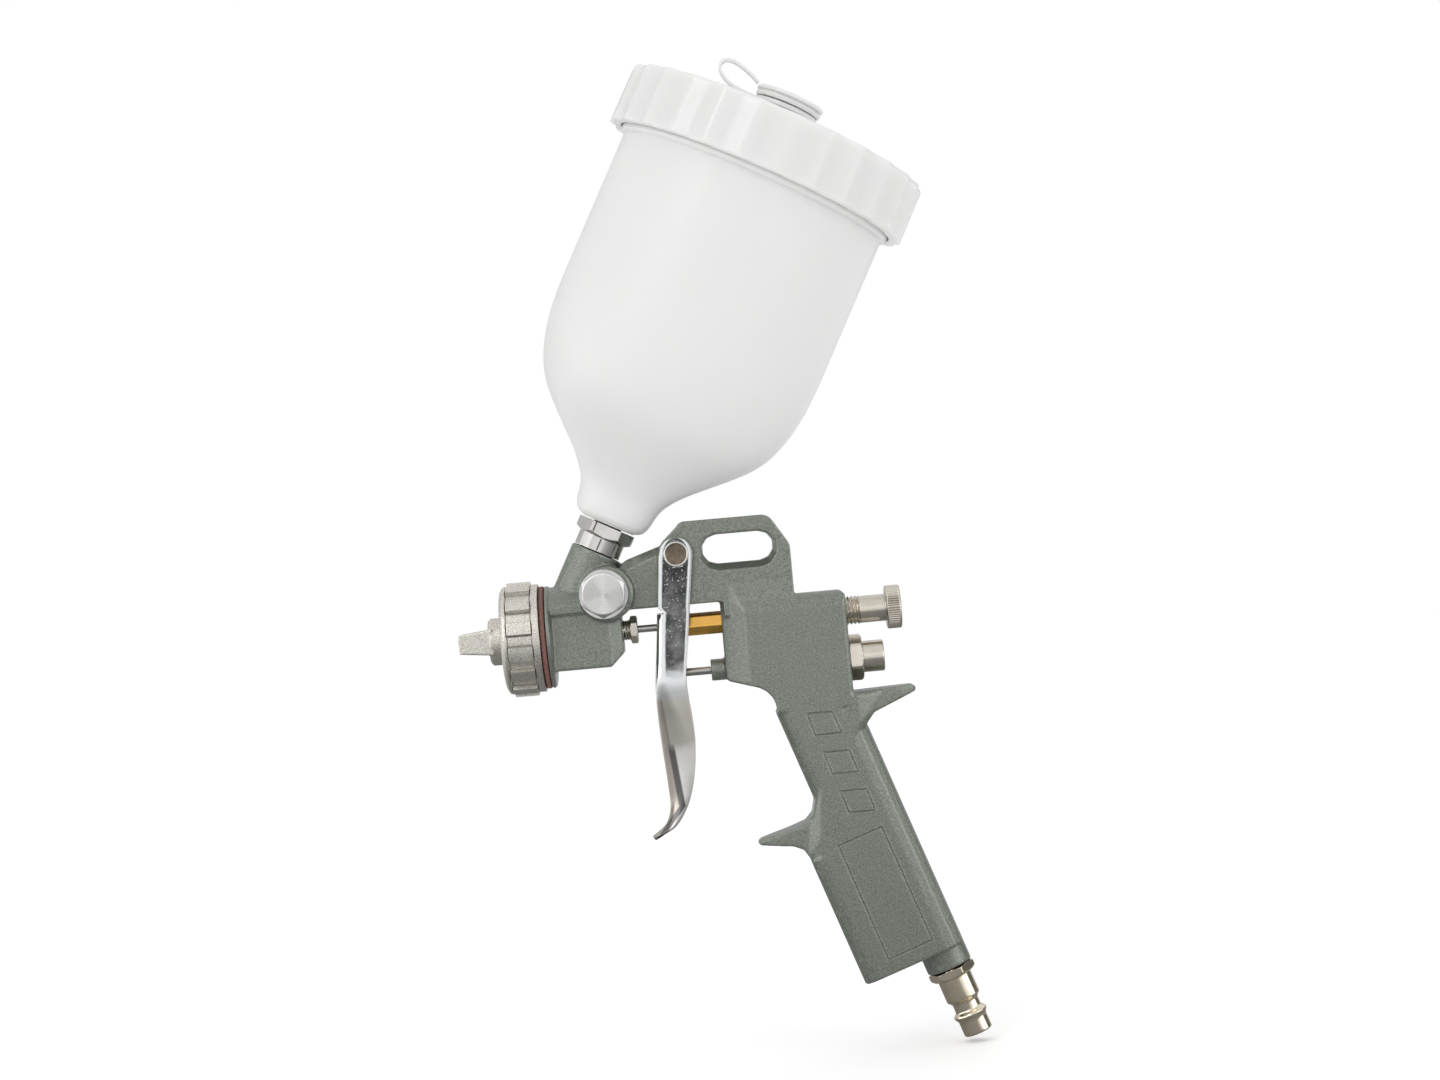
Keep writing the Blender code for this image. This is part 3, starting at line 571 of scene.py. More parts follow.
def polished(name, colour, roughness, marks=0.35, corner_shade_weight=1.0):
    """Turned and plated metal: fine marks round the axis, cloudy polish, painted shade in the corners."""
    look = Look(name, colour, 1.0, roughness)
    rings = look.noise(0.35, 2.0, 0.6, (40.0, 40.0, 1.0))
    cloud = look.noise(4.0, 3.0)
    dull = tuple(value * 0.86 for value in colour)
    base = look.mix(look.ramp(cloud, (0.3, 0.0), (0.75, 1.0)), dull, colour)
    # Painted shade: corners and creases are darkened.
    corner = look.ramp(look.creases(1.0), (0.2, 0.3), (0.8, 1.0))
    look.set("Base Color", look.mix(corner_shade_weight, base, look.mix(1.0, base, corner, "MULTIPLY")))
    marked = look.maths("ADD", look.maths("MULTIPLY", rings, 0.5), look.maths("MULTIPLY", cloud, 0.5))
    look.set("Roughness", look.ramp(marked, (0.3, roughness * 0.75), (0.75, roughness * 1.4)))
    look.set("Normal", look.bump(rings, 0.02, marks))
    return look.material


def turned_face():
    """A faced end: rings cut by the tool, which throw light in a cross."""
    look = Look("turned_face", (0.7, 0.7, 0.69), 1.0, 0.34)
    reach = look.node("CombineXYZ", {0: look.reach()}).outputs[0]
    cut = look.node("TexNoise", {"Vector": reach, "Scale": 1 / (0.22 * MM), "Detail": 2.0}).outputs["Fac"]
    base = look.mix(look.ramp(cut, (0.35, 0.0), (0.65, 1.0)), (0.6, 0.6, 0.59), (0.82, 0.82, 0.81))
    look.set("Base Color", base)
    look.set("Roughness", look.ramp(look.noise(1.2), (0.3, 0.28), (0.7, 0.42)))
    look.set("Normal", look.bump(cut, 0.02, 0.5))
    look.set("Tangent", look.node("Tangent", direction_type="RADIAL", axis="Z").outputs[0])
    look.set("Anisotropic", 0.85)
    return look.material


def milky_plastic(name, colour, roughness, scatter, wave_size, dimple):
    """Translucent moulded plastic: light spreads inside it, and the surface isn't quite flat."""
    look = Look(name, colour, 0.0, roughness)
    cloud = look.noise(22.0, 2.0)
    cool = (colour[0] * 0.985, colour[1] * 0.995, colour[2])
    warm = (colour[0], colour[1] * 0.985, colour[2] * 0.965)
    look.set("Base Color", look.mix(cloud, cool, warm))
    look.set("Roughness", look.ramp(look.noise(9.0, 3.0), (0.3, roughness * 0.85), (0.7, roughness * 1.2)))
    look.set("Subsurface Weight", scatter)
    look.set("Subsurface Radius", (1.0, 0.98, 0.94))
    look.set("Subsurface Scale", 5.0 * MM)
    look.set("IOR", 1.5)
    fine = look.bump(look.noise(0.5, 2.0), 0.01, 0.25)
    look.set("Normal", look.bump(look.noise(wave_size, 1.0), dimple, 0.5, fine))
    return look.material


def matt(name, dark, light, size, roughness, depth=0.03):
    """A plain soft material, such as fibre, seal plastic or rubber, with its own grain."""
    look = Look(name, light, 0.0, roughness)
    grain = look.noise(size, 3.0, 0.6)
    look.set("Base Color", look.mix(look.ramp(grain, (0.3, 0.0), (0.7, 1.0)), dark, light))
    look.set("Roughness", look.ramp(grain, (0.3, roughness * 0.85), (0.7, min(1.0, roughness * 1.15))))
    look.set("Normal", look.bump(grain, depth, 0.6))
    return look.material


def stud_steel():
    """A browned stud: its face is dark and the rim round it is rubbed bright."""
    look = Look("stud_steel", (0.25, 0.21, 0.17), 1.0, 0.3)
    rim = look.ramp(look.maths("DIVIDE", look.reach(), 5.0 * MM), (0.7, 0.0), (0.74, 1.0))
    stain = look.mix(look.noise(1.2, 3.0), (0.1, 0.075, 0.05), (0.3, 0.25, 0.2))
    look.set("Base Color", look.mix(rim, stain, (0.78, 0.76, 0.72)))
    look.set("Roughness", look.ramp(rim, (0.0, 0.42), (1.0, 0.2)))
    look.set("Normal", look.bump(look.noise(0.5, 2.0), 0.03, 0.5))
    return look.material


LOOKS = {
    "enamel": enamel(),
    "satin_nickel": blasted_nickel(),
    "trigger_chrome": trigger_chrome(),
    "chrome": polished("chrome", (0.68, 0.67, 0.65), 0.08, 0.2),
    "steel": polished("steel", (0.56, 0.54, 0.51), 0.24),
    "turned_steel": turned_face(),
    "stud_steel": stud_steel(),
    "dark_steel": polished("dark_steel", (0.25, 0.21, 0.17), 0.3, 0.5),
    "brass": polished("brass", (0.95, 0.54, 0.13), 0.2, 0.3),
    "nickel": polished("nickel", (0.8, 0.75, 0.66), 0.2, 0.4),
    "warm_nickel": polished("warm_nickel", (0.95, 0.84, 0.67), 0.14, 0.3),
    "cup_plastic": milky_plastic("cup_plastic", (0.86, 0.86, 0.855), 0.34, 0.7, 30.0, 0.4),
    "lid_plastic": milky_plastic("lid_plastic", (0.77, 0.77, 0.77), 0.2, 0.5, 14.0, 0.5),
    "fibre": matt("fibre", (0.12, 0.055, 0.045), (0.25, 0.115, 0.095), 0.6, 0.8),
    "seal": matt("seal", (0.72, 0.72, 0.69), (0.86, 0.86, 0.83), 1.2, 0.45),
    "rubber": matt("rubber", (0.015, 0.015, 0.016), (0.04, 0.04, 0.04), 0.4, 0.6),
}


def shown(obj, node, finish=None):
    """Lets obj stand for this CAD node: it rides on the node's body and takes its material slot."""
    slot = next(part["material_slot"] for part in frame["record"]["subparts"] if part["node"] == node)
    obj.data.materials.clear()
    obj.data.materials.append(LOOKS[finish or slot])
    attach(obj, frame["nodes"][node]["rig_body"])
    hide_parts(node)
    return obj


def turned(node, outer, place, bore=None, finish=None, **settings):
    """A lathe's shape that stands for this CAD node."""
    return shown(lathe(node + "_fine", outer, place, bore, **settings), node, finish)


# The casting

SIDE = 11.5  # half the body's thickness, where the grip is engraved


def grip_outlines():
    """The outlines engraved on the grip, in the gun's side view: three slanted windows and a blank panel."""
    windows = [[(87.3 + 4.5 * n, -33.2 - 13.6 * n), (95.8 + 4.6 * n, -33.3 - 13.5 * n),
                (98.4 + 4.5 * n, -40.6 - 13.6 * n), (89.5 + 4.55 * n, -40.7 - 13.55 * n)] for n in range(3)]
    return windows + [[(94.0, -78.7), (109.1, -73.6), (122.8, -113.2), (107.5, -118.6)]]


def outline_distance(points, outline):
    """How far each point is from a closed outline."""
    nearest = np.full(len(points), 1e9)
    for start, end in zip(outline, outline[1:] + outline[:1]):
        start = np.array(start)
        along = np.array(end) - start
        t = np.clip((points - start) @ along / (along @ along), 0, 1)
        nearest = np.minimum(nearest, np.linalg.norm(points - start - t[:, None] * along, axis=1))
    return nearest


def engrave(mesh, half_width=0.3, depth=0.32):
    """Cuts the outlines into both sides of the grip, after making the mesh finer there."""
    shape = bmesh.new()
    shape.from_mesh(mesh)
    centres = np.array([face.calc_center_median() for face in shape.faces])
    normals = np.array([face.normal for face in shape.faces])
    view = (centres - np.array(GUN_AT))[:, (0, 2)] / MM
    flat = (np.abs(normals[:, 1]) > 0.97) & (np.abs(centres[:, 1]) > (SIDE - 0.8) * MM)
    near = np.min([outline_distance(view, outline) for outline in grip_outlines()], axis=0) < 0.75
    shape.faces.ensure_lookup_table()
    chosen = [shape.faces[index] for index in np.nonzero(flat & near)[0]]
    edges = list({edge for face in chosen for edge in face.edges})
    bmesh.ops.subdivide_edges(shape, edges=edges, cuts=3, use_grid_fill=True)
    points = np.array([vert.co for vert in shape.verts])
    view = (points - np.array(GUN_AT))[:, (0, 2)] / MM
    away = np.min([outline_distance(view, outline) for outline in grip_outlines()], axis=0)
    deep = np.clip(1 - away / half_width, 0, 1) ** 0.8 * depth * MM
    on_side = np.abs(points[:, 1]) > (SIDE - 0.8) * MM
    for vert, y, down in zip(shape.verts, points[:, 1], np.where(on_side, deep, 0.0)):
        if down > 0:
            vert.co.y -= math.copysign(down, y)
    shape.to_mesh(mesh)
    shape.free()


# Where each finger spur's sides run out into the grip: points in the gun's side view with half widths
FRONT_ROOT = [(90.0, -57.3, 11.45), (92.6, -56.5, 11.45), (88.1, -75.9, 11.45), (88.8, -83.1, 11.45),
              (90.4, -87.8, 11.45), (102.0, -83.9, 11.45), (88.4, -59.2, 9.5), (84.9, -74.9, 9.2),
              (84.4, -80.9, 9.3), (86.9, -86.9, 9.6)]  # fmt: skip
REAR_ROOT = [(101.0, -27.3, 11.4), (101.0, -46.0, 11.4), (105.0, -29.0, 11.2), (105.4, -37.5, 11.2),
             (113.5, -28.2, 7.8), (112.0, -33.0, 8.0)]  # fmt: skip


def fairing(name, root):
    """Blends a spur's sides into the grip's."""
    return hull(name, [(x, side * half, z) for x, z, half in root for side in (-1, 1)], GUN)


def body_casting():
    """The CAD casting with rounder bosses and its spurs blended in, engraved on both sides."""
    made = bpy.data.objects.new("gun_casting", frame["nodes"]["body_casting"].data.copy())
    bpy.context.scene.collection.objects.link(made)
    flange = [(2.0, 13.0), (2.0, 17.5), (3.0, 17.5), (3.7, 16.6), (4.2, 13.0)]
    collar = [(-9.0, 14.6), (-8.4, 15.2), (2.4, 15.2)]
    boss_at = PLUG @ Matrix.Translation((0.9 * MM, 0.0, 0.0))
    rounds = [
        lathe("flange", flange, NEEDLE, [(2.0, 12.0), (4.2, 12.0)], segments=144),
        lathe("collar", collar, NEEDLE, [(-9.0, 12.0), (2.4, 12.0)], segments=144),
        lathe("socket", [(-12.0, 8.7), (0.0, 8.7)], CUP, [(-12.0, 6.8), (0.0, 6.8)]),
        lathe("boss", [(0.0, 9.3), (14.2, 9.3)], boss_at, [(0.0, 7.0), (14.2, 7.0)]),
        lathe("inlet_boss", [(-30.0, 7.9), (0.0, 7.9)], INLET, [(-30.0, 6.0), (0.0, 6.0)]),
        lathe("stem_boss", [(56.3, 3.7), (64.0, 3.7)], VALVE, [(56.3, 3.2), (64.0, 3.2)]),
    ]
    rounds += [fairing("front_fairing", FRONT_ROOT), fairing("rear_fairing", REAR_ROOT)]
    for obj in [made] + rounds:
        obj.data.transform(obj.matrix_world)
        obj.matrix_world = Matrix.Identity(4)
    fuse(made, 0.42, 4, *rounds)
    engrave(made.data)
    made.data.shade_smooth()
    return shown(made, "body_casting")


# Spray head


RING_PADS = 14


def ring_pads(angle, height, radius):
    """Raised pads round the ring, with a thin groove where the recesses meet the rims."""
    low, high, top = -10.9, -2.7, 19.5
    if not low - 0.6 <= height <= high + 0.6 or radius < 17.0:
        return radius
    pitch = 360 / RING_PADS
    away = abs((math.degrees(angle) + pitch / 2) % pitch - pitch / 2)
    across = 1 - smoothstep(pitch / 4 - 0.35, pitch / 4 + 0.35, away)
    along = smoothstep(low - 0.25, low + 0.15, height) * (1 - smoothstep(high - 0.15, high + 0.25, height))
    lift = min(across, along)
    beside = max(1 - abs(away - pitch / 4 - 0.9) / 0.8, 0.0)
    ends = max(1 - abs(height - low) / 0.35, 1 - abs(height - high) / 0.35, 0.0)
    groove = 0.22 * max(beside * along, ends) * (1 - lift)
    return radius + (top - radius) * lift - groove


def air_cap_ring():
    pitch = 360 / RING_PADS
    offsets = [0.0, 2.2, 4.4, 5.6, 6.08, 6.43, 6.78, 7.3, 7.9, 8.6, 10.0, 11.4]
    offsets += [-offset for offset in offsets]
    angles = sorted({(pitch * pad + offset) % 360 for pad in range(RING_PADS) for offset in offsets})
    outer = [(-13.5, 15.6), (-13.2, 16.9), (-12.3, 18.2), (-11.7, 18.4), (-11.2, 18.4), (-11.0, 17.9)]
    outer += [(-2.6, 17.9), (-2.4, 18.4), (-0.1, 18.4)]
    bore = [(-13.5, 10.4), (-12.3, 10.6), (-12.2, 15.6), (-0.1, 15.6)]
    return turned("air_cap_ring", outer, NEEDLE, bore, edge=0.18, wave=ring_pads, step=0.22, angles=angles)


def air_cap():
    """The cap over the nozzle, with two horns whose jets shape the fan."""
    outer = [(-18.2, 7.1), (-17.3, 8.1), (-12.4, 8.1), (-12.2, 9.2), (-10.9, 9.9), (-10.8, 14.9)]
    outer.append((-9.4, 14.9))
    cap = lathe("air_cap_fine", outer, NEEDLE)
    parts = []
    for name, side in (("horn_near", -1), ("horn_far", 1)):
        root = [(-16.6, y, z) for y in (2.4, 7.7) for z in (-4.4, 4.5)]
        flare = [(-18.8, y, z) for y in (2.8, 7.7) for z in (-3.5, 3.65)]
        tip = [(-28.3, y, z) for y in (4.7, 7.3) for z in (-3.1, 3.3)]
        parts.append(hull(name, [(x, side * y, z) for x, y, z in root + flare + tip], GUN))
    cap = fuse(cap, 0.26, 5, *parts)
    hollow = lathe("hollow", [(-21.0, 2.2), (-18.0, 2.2), (-14.4, 5.9), (-14.2, 7.6), (-9.0, 7.6)], NEEDLE)
    drills = [hollow]
    for index in range(6):
        turn = math.radians(60 * index + 30)
        at = (4.1 * math.cos(turn) * MM, 4.1 * math.sin(turn) * MM, 0.0)
        place = NEEDLE @ Matrix.Translation(at)
        drills.append(lathe(f"jet_{index}", [(-22.0, 0.4), (-13.0, 0.4)], place, segments=16))
    for side in (-1, 1):
        for x in (-26.0, -22.8):
            place = frame_along(GUN @ Vector((x * MM, side * 3.0 * MM, 0.0)), (-0.45, -side, 0.0), (0, 0, 1))
            drills.append(lathe(f"horn_jet_{side}_{x}", [(-3.6, 0.55), (1.5, 0.55)], place, segments=20))
    boolean(cap, "DIFFERENCE", *drills)
    cap.data.shade_smooth()
    cap.data.set_sharp_from_angle(angle=math.radians(40))
    return shown(cap, "air_cap")


def head_gasket():
    bore = [(0.2, 15.5), (1.8, 15.5)]
    return turned("head_gasket", [(0.2, 17.5), (1.8, 17.5)], NEEDLE, bore, segments=144, edge=0.3)


def side_plug():
    turn = 26.0
    outer = [(6.0, 0.0), (6.0, 4.9), (15.9, 4.9), (16.0, 8.4), (20.1, 8.4), (20.6, 7.4), (20.9, 6.95)]
    outer += [(21.0, 6.6), (21.0, 0.0)]
    wave = hexagonal(14.2, 16.0, 20.9, turn)
    return turned("side_plug", outer, PLUG, edge=0.12, wave=wave, step=0.4, angles=columns(turn))


def packing_nut():
    outer = [(25.2, 3.5), (30.0, 3.5), (30.1, 4.1), (30.5, 4.85), (32.2, 4.85), (32.6, 4.1)]
    wave = both_waves(threaded(25.4, 29.9, 0.8, 0.3), hexagonal(8.4, 30.05, 32.6))
    bore = [(25.2, 1.4), (32.6, 1.4)]
    return turned("packing_nut", outer, NEEDLE, bore, edge=0.08, wave=wave, step=0.12)


# Needle line


def needle():
    tip = [(-19.6, 0.0), (-19.6, 0.3), (-14.5, 1.25), (95.3, 1.25), (95.5, 1.1), (95.5, 0.0)]
    return turned("needle", tip, NEEDLE, segments=48, step=8.0)


def needle_collar():
    turn = 45.0
    wave = hexagonal(7.0, 42.0, 74.3, turn)
    outer = [(42.3, 3.6), (42.7, 4.2), (73.6, 4.2), (74.0, 3.6)]
    bore = [(42.3, 1.4), (74.0, 1.4)]
    angles = columns(turn, 72)
    return turned("needle_collar", outer, NEEDLE, bore, edge=0.1, wave=wave, step=1.5, angles=angles)


KNOB_TEETH = 56


def fluid_knob():
    """A stop screw with a thread, a smooth neck and a straight-knurled head."""

    def knurl(angle, height, radius):
        if radius < 6.5:
            return radius
        ends = smoothstep(117.9, 118.4, height) * (1 - smoothstep(121.9, 122.4, height))
        return radius - 0.3 * ends * (0.5 - 0.5 * math.cos(KNOB_TEETH * angle)) ** 1.4

    outer = [(90.0, 4.7), (90.3, 5.0), (108.6, 5.0), (108.8, 4.6), (117.5, 4.6), (117.6, 6.9), (118.0, 7.4)]
    outer += [(122.3, 7.4), (122.7, 7.0), (122.7, 2.6), (122.4, 2.2), (122.4, 0.0)]
    outer = [(112.5, 0.0), (112.5, 3.7), (90.0, 3.7)] + outer
    wave = both_waves(beyond(4.9, threaded(90.2, 108.9, 1.25, 0.6)), knurl)
    return turned("fluid_knob", outer, NEEDLE, segments=288, edge=0.1, wave=wave, step=0.16)


# Air valve


def air_valve_cap():
    turn = -6.0
    outer = [(113.4, 0.0), (113.4, 4.5), (96.0, 4.5), (96.0, 6.1), (103.9, 6.1), (104.1, 7.9), (107.5, 7.9)]
    outer += [(107.9, 7.6), (108.3, 6.9), (108.3, 5.35), (115.2, 5.35), (115.6, 5.0), (115.6, 0.0)]
    wave = beyond(6.2, hexagonal(14.0, 104.0, 108.3, turn))
    return turned("air_valve_cap", outer, VALVE, edge=0.12, wave=wave, step=0.3, angles=columns(turn))


def valve_stem():
    stem = [(39.25, 0.0), (39.25, 1.0), (39.6, 1.35), (88.0, 1.35), (88.0, 0.0)]
    return turned("valve_stem", stem, VALVE, segments=48, step=8.0)


# Air inlet


def air_nipple():
    turn = 8.0
    outer = [(-9.0, 4.95), (0.25, 4.95), (0.3, 7.0), (0.7, 8.2), (2.6, 8.2), (3.4, 7.0), (3.5, 5.95)]
    outer += [(11.4, 5.95), (12.4, 4.9), (12.9, 4.6), (15.6, 4.6), (16.1, 4.9), (16.7, 5.65), (17.3, 5.95)]
    outer += [(17.9, 5.75), (18.7, 5.1), (19.4, 5.0), (24.0, 5.0), (NIPPLE_LENGTH, 4.7)]
    bore = [(-9.0, 3.4), (NIPPLE_LENGTH, 3.4)]
    wave = beyond(6.0, hexagonal(14.4, 0.3, 3.4, turn))
    settings = {"edge": 0.22, "wave": wave, "step": 0.5, "angles": columns(turn)}
    return turned("air_nipple", outer, INLET, bore, "warm_nickel", **settings)


# Trigger


def trigger_sections():
    """Down the trigger: front edge x and z, rear edge x and z, half width, and how far the web's corners
    reach along and across it."""
    return smooth_path([
        (39.7, 4.6, 50.8, 4.6, 9.9, 2.6, 2.6),
        (38.5, -7.0, 49.2, -7.0, 9.9, 2.7, 2.6),
        (37.2, -18.0, 47.6, -18.0, 9.9, 3.4, 3.2),
        (36.8, -25.0, 47.8, -25.0, 9.5, 5.6, 5.0),
        (36.9, -33.0, 48.5, -32.0, 9.0, 8.2, 6.8),
        (37.3, -41.0, 48.8, -39.5, 8.5, 9.4, 7.4),
        (37.8, -48.0, 48.3, -46.5, 8.1, 9.0, 7.4),
        (38.2, -54.5, 47.1, -53.5, 7.7, 7.8, 7.1),
        (38.4, -60.0, 45.0, -60.0, 7.2, 5.9, 6.6),
        (37.8, -64.0, 42.2, -65.0, 6.5, 4.0, 6.0),
        (36.2, -67.3, 39.3, -68.3, 5.6, 2.8, 5.2),
        (33.4, -69.6, 35.6, -70.3, 4.4, 2.0, 4.1),
        (31.4, -70.9, 32.2, -71.3, 3.0, 0.7, 2.8),
    ], 6)  # fmt: skip


PIVOT_X, PIVOT_Z = 48, 24.5
EYE_R = 5.6  # the round top of each cheek


def trigger():
    """One folded sheet: two cheeks above, a web between them below, closing to a spoon-shaped tip."""
    cheek_columns, corner_columns, web_columns = 7, 8, 4
    shape = bmesh.new()
    rows = []
    for front_x, front_z, rear_x, rear_z, half, along, across in trigger_sections():
        deep = math.dist((front_x, front_z), (rear_x, rear_z))
        inward = Vector((front_x - rear_x, 0.0, front_z - rear_z)) / max(deep, 1e-6)
        rear = Vector((rear_x, 0.0, rear_z))
        along = min(along, deep * 0.9)
        across = min(across, half * 0.95)
        flat = deep - along
        points = [(flat * step / cheek_columns, half) for step in range(cheek_columns)]
        for step in range(corner_columns + 1):
            turn = math.pi / 2 * step / corner_columns
            points.append((flat + along * math.sin(turn), half - across * (1 - math.cos(turn))))
        edge = half - across
        slot_edge = min(2.0, edge * 0.4)
        for step in range(1, web_columns + 1):
            points.append((deep, slot_edge + (edge - slot_edge) * (1 - step / web_columns)))
        near = [rear + inward * reach + Vector((0.0, -width, 0.0)) for reach, width in points]
        far = [Vector((point.x, -point.y, point.z)) for point in reversed(near)]
        centre = Vector((near[-1].x, 0.0, near[-1].z))
        rows.append([shape.verts.new(point) for point in near + [centre] + far])
    middle = (len(rows[0]) - 1) // 2
    for upper, lower in zip(rows, rows[1:]):
        for index in range(len(upper) - 1):
            height = (upper[index].co.z + lower[index].co.z) / 2
            in_needle_slot = index in (middle - 1, middle) and -3.2 < height < 3.4
            if not in_needle_slot:
                shape.faces.new((upper[index], upper[index + 1], lower[index + 1], lower[index]))
    for side, first in ((-1, rows[0][: cheek_columns + 1]), (1, rows[0][::-1][: cheek_columns + 1])):
        below = first
        levels = []
        for z in (6.5, 10.0, 15.0, 20.0, 23.6):
            levels.append((z, 40.2 + (z - 4.5) * 0.098, 50.8 + (z - 4.6) * 0.144))
        for degrees in (6, 16, 26, 36, 46, 55, 64, 72, 79, 84):
            turn = math.radians(degrees)
            reach = EYE_R * math.cos(turn)
            levels.append((PIVOT_Z + EYE_R * math.sin(turn), PIVOT_X - reach, PIVOT_X + reach))
        for z, front, back in levels:
            row = []
            for step in range(cheek_columns + 1):
                x = back + (front - back) * step / cheek_columns
                row.append(shape.verts.new((x, side * 9.9, z)))
            for index in range(cheek_columns):
                shape.faces.new((below[index], below[index + 1], row[index + 1], row[index]))
            below = row
    lever = solid("trigger_fine", shape, GUN)
    thick = lever.modifiers.new("sheet", "SOLIDIFY")
    thick.thickness = 1.5 * MM
    thick.offset = -1.0
    thick.use_even_offset = True
    rim = lever.modifiers.new("rim", "BEVEL")
    rim.width = 0.45 * MM
    rim.segments = 3
    rim.limit_method = "ANGLE"
    rim.angle_limit = math.radians(50)
    apply_modifiers(lever)
    lever.data.shade_smooth()
    lever.data.set_sharp_from_angle(angle=math.radians(40))
    eye = lathe("eye", [(-12.0, 2.5), (12.0, 2.5)], PIVOT, segments=48)
    boolean(lever, "DIFFERENCE", eye)
    return shown(lever, "trigger", "trigger_chrome")


def pivot_stud():
    outer = [(-2.0, 0.0), (-2.0, 1.4), (-9.6, 1.4), (-9.6, 2.2), (10.15, 2.2), (10.2, 4.3), (11.6, 4.3)]
    outer += [(11.9, 4.1), (11.9, 3.7), (11.6, 3.5), (11.5, 1.0), (11.35, 0.0)]
    return turned("pivot_stud", outer, PIVOT, finish="stud_steel", edge=0.12)


def pivot_screw():
    outer = [(-11.9, 0.0), (-11.9, 3.4), (-11.4, 4.0), (-10.2, 4.0), (-10.2, 1.1), (-3.0, 1.1), (-3.0, 0.0)]
    screw = lathe("pivot_screw_fine", outer, PIVOT, edge=0.12, segments=72)
    slot = plate("slot", [(-5.0, -0.5), (5.0, -0.5), (5.0, 0.5), (-5.0, 0.5)], -13.0, -11.0, PIVOT, 0.0)
    return shown(boolean(screw, "DIFFERENCE", slot), "pivot_screw")


# Paint cup


def cup_fitting():
    """The plated foot of the cup: a plain neck under a hexagon."""
    turn = 3.5
    outer = [(-7.6, 5.5), (-7.2, 5.85), (0.25, 5.85), (0.3, 8.1), (5.1, 8.1), (5.2, 8.4), (6.5, 10.4)]
    outer += [(9.4, 10.4), (9.6, 10.2), (9.6, 5.0), (19.0, 5.0)]

    def wave(angle, height, radius):
        if radius > 8.15:
            return hexagonal(17.6, 5.1, 9.7, turn)(angle, height, radius)
        if height > 9.6:
            return threaded(9.8, 18.9, 1.0, 0.4)(angle, height, radius)
        return threaded(-7.6, 0.2, 1.5, 0.6)(angle, height, radius) if height < 0.2 else radius

    bore = [(-7.6, 4.0), (19.0, 4.0)]
    return turned("cup_fitting", outer, CUP, bore, edge=0.1, wave=wave, step=0.2, angles=columns(turn))


def paint_cup():
    wall = smooth_path([
        (12.3, 12.5), (15.0, 13.5), (20.0, 14.5), (24.0, 16.5), (29.2, 20.8), (35.3, 27.2), (41.0, 33.3),
        (47.7, 39.3), (55.4, 43.4), (66.0, 46.3), (79.0, 47.5), (100.0, 47.6), (135.0, 47.6),
    ], 5)  # fmt: skip
    outer = [(10.1, 9.5), (11.2, 11.4)] + wall + [(135.7, 49.0), (138.0, 49.0), (138.7, 47.6), (154.9, 47.6)]
    bore = [(10.1, 5.4), (13.8, 5.4), (13.8, 11.0)]
    bore += [(height + 0.6, radius - 2.0) for height, radius in wall if height > 17.0] + [(154.9, 45.6)]

    def thread(angle, height, radius):
        if height <= 140.0:
            return radius
        return radius + 0.7 * (0.6 - threaded(141.0, 153.5, 4.0, 0.6)(angle, height, 0.6))

    return turned("paint_cup", outer, CUP, bore, segments=160, edge=0.5, wave=thread, step=3.0)


LID_RIDGES = 26


def lid_grip(angle, height, radius):
    """Hollow finger grips round the lid, with a ridge between each two."""
    if radius < 50.5:
        return radius
    across = math.sqrt(math.sin(LID_RIDGES / 2 * angle) ** 2 + 0.02)
    return radius - 1.5 * across


def cup_lid():
    """One closed section turned round: under the top, down inside the wall, up its outside and the spout."""
    section = [(155.9, 7.6), (155.9, 46.5), (154.0, 48.4), (137.2, 49.7), (137.0, 50.0), (137.0, 53.4)]
    section += [(137.4, 54.0), (156.4, 53.8), (157.2, 53.2), (157.4, 52.4), (157.4, 43.0), (157.0, 42.2)]
    section += [(157.0, 9.4), (157.6, 8.2), (162.6, 7.4), (162.8, 6.9), (167.2, 6.9), (167.5, 6.6)]
    section += [(167.5, 2.0), (155.9, 2.0), (155.9, 7.6)]
    return turned("cup_lid", section, CUP, segments=LID_RIDGES * 12, edge=0.35, wave=lid_grip, step=2.5)


def vent_cap():
    """A snap cap whose domed top overhangs its skirt."""
    outer = [(167.9, 0.0), (167.9, 7.3), (165.4, 7.4), (165.4, 11.2), (165.7, 11.6), (166.9, 11.7)]
    outer += [(167.1, 10.9), (167.5, 10.8), (167.7, 12.0), (168.6, 12.0), (169.0, 11.3), (169.5, 8.0)]
    outer += [(169.9, 4.0), (169.9, 0.0)]
    return turned("vent_cap", outer, CUP, edge=0.15, segments=120, step=1.2)


def vent_tether():
    """The strap that keeps the vent cap on the lid: from the collar it folds back to the cap's edge."""
    bends = [(-10.6, 164.2), (-14.5, 164.3), (-19.0, 164.7), (-23.0, 165.9), (-25.9, 168.0), (-26.7, 170.3)]
    bends += [(-25.3, 172.1), (-22.6, 172.6), (-19.2, 172.0), (-15.2, 170.7), (-12.4, 169.3)]
    path = smooth_path(bends, 4)
    thickness = 0.95
    sides = ([], [])
    for index, (x, y) in enumerate(path):
        before = Vector(path[max(index - 1, 0)])
        after = Vector(path[min(index + 1, len(path) - 1)])
        along = (after - before).normalized() * thickness / 2
        sides[0].append((x - along.y, y + along.x))
        sides[1].append((x + along.y, y - along.x))
    strap = plate("tether_strap", sides[0] + sides[1][::-1], -2.3, 2.3, CUP_SIDE, 0.25)
    strap.data.materials.append(LOOKS["lid_plastic"])
    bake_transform(strap)
    outer = [(163.6, 11.2), (165.0, 11.2)]
    collar = lathe("tether_collar_fine", outer, CUP, [(163.6, 7.3), (165.0, 7.3)], edge=0.25)
    return shown(collar, "vent_tether")


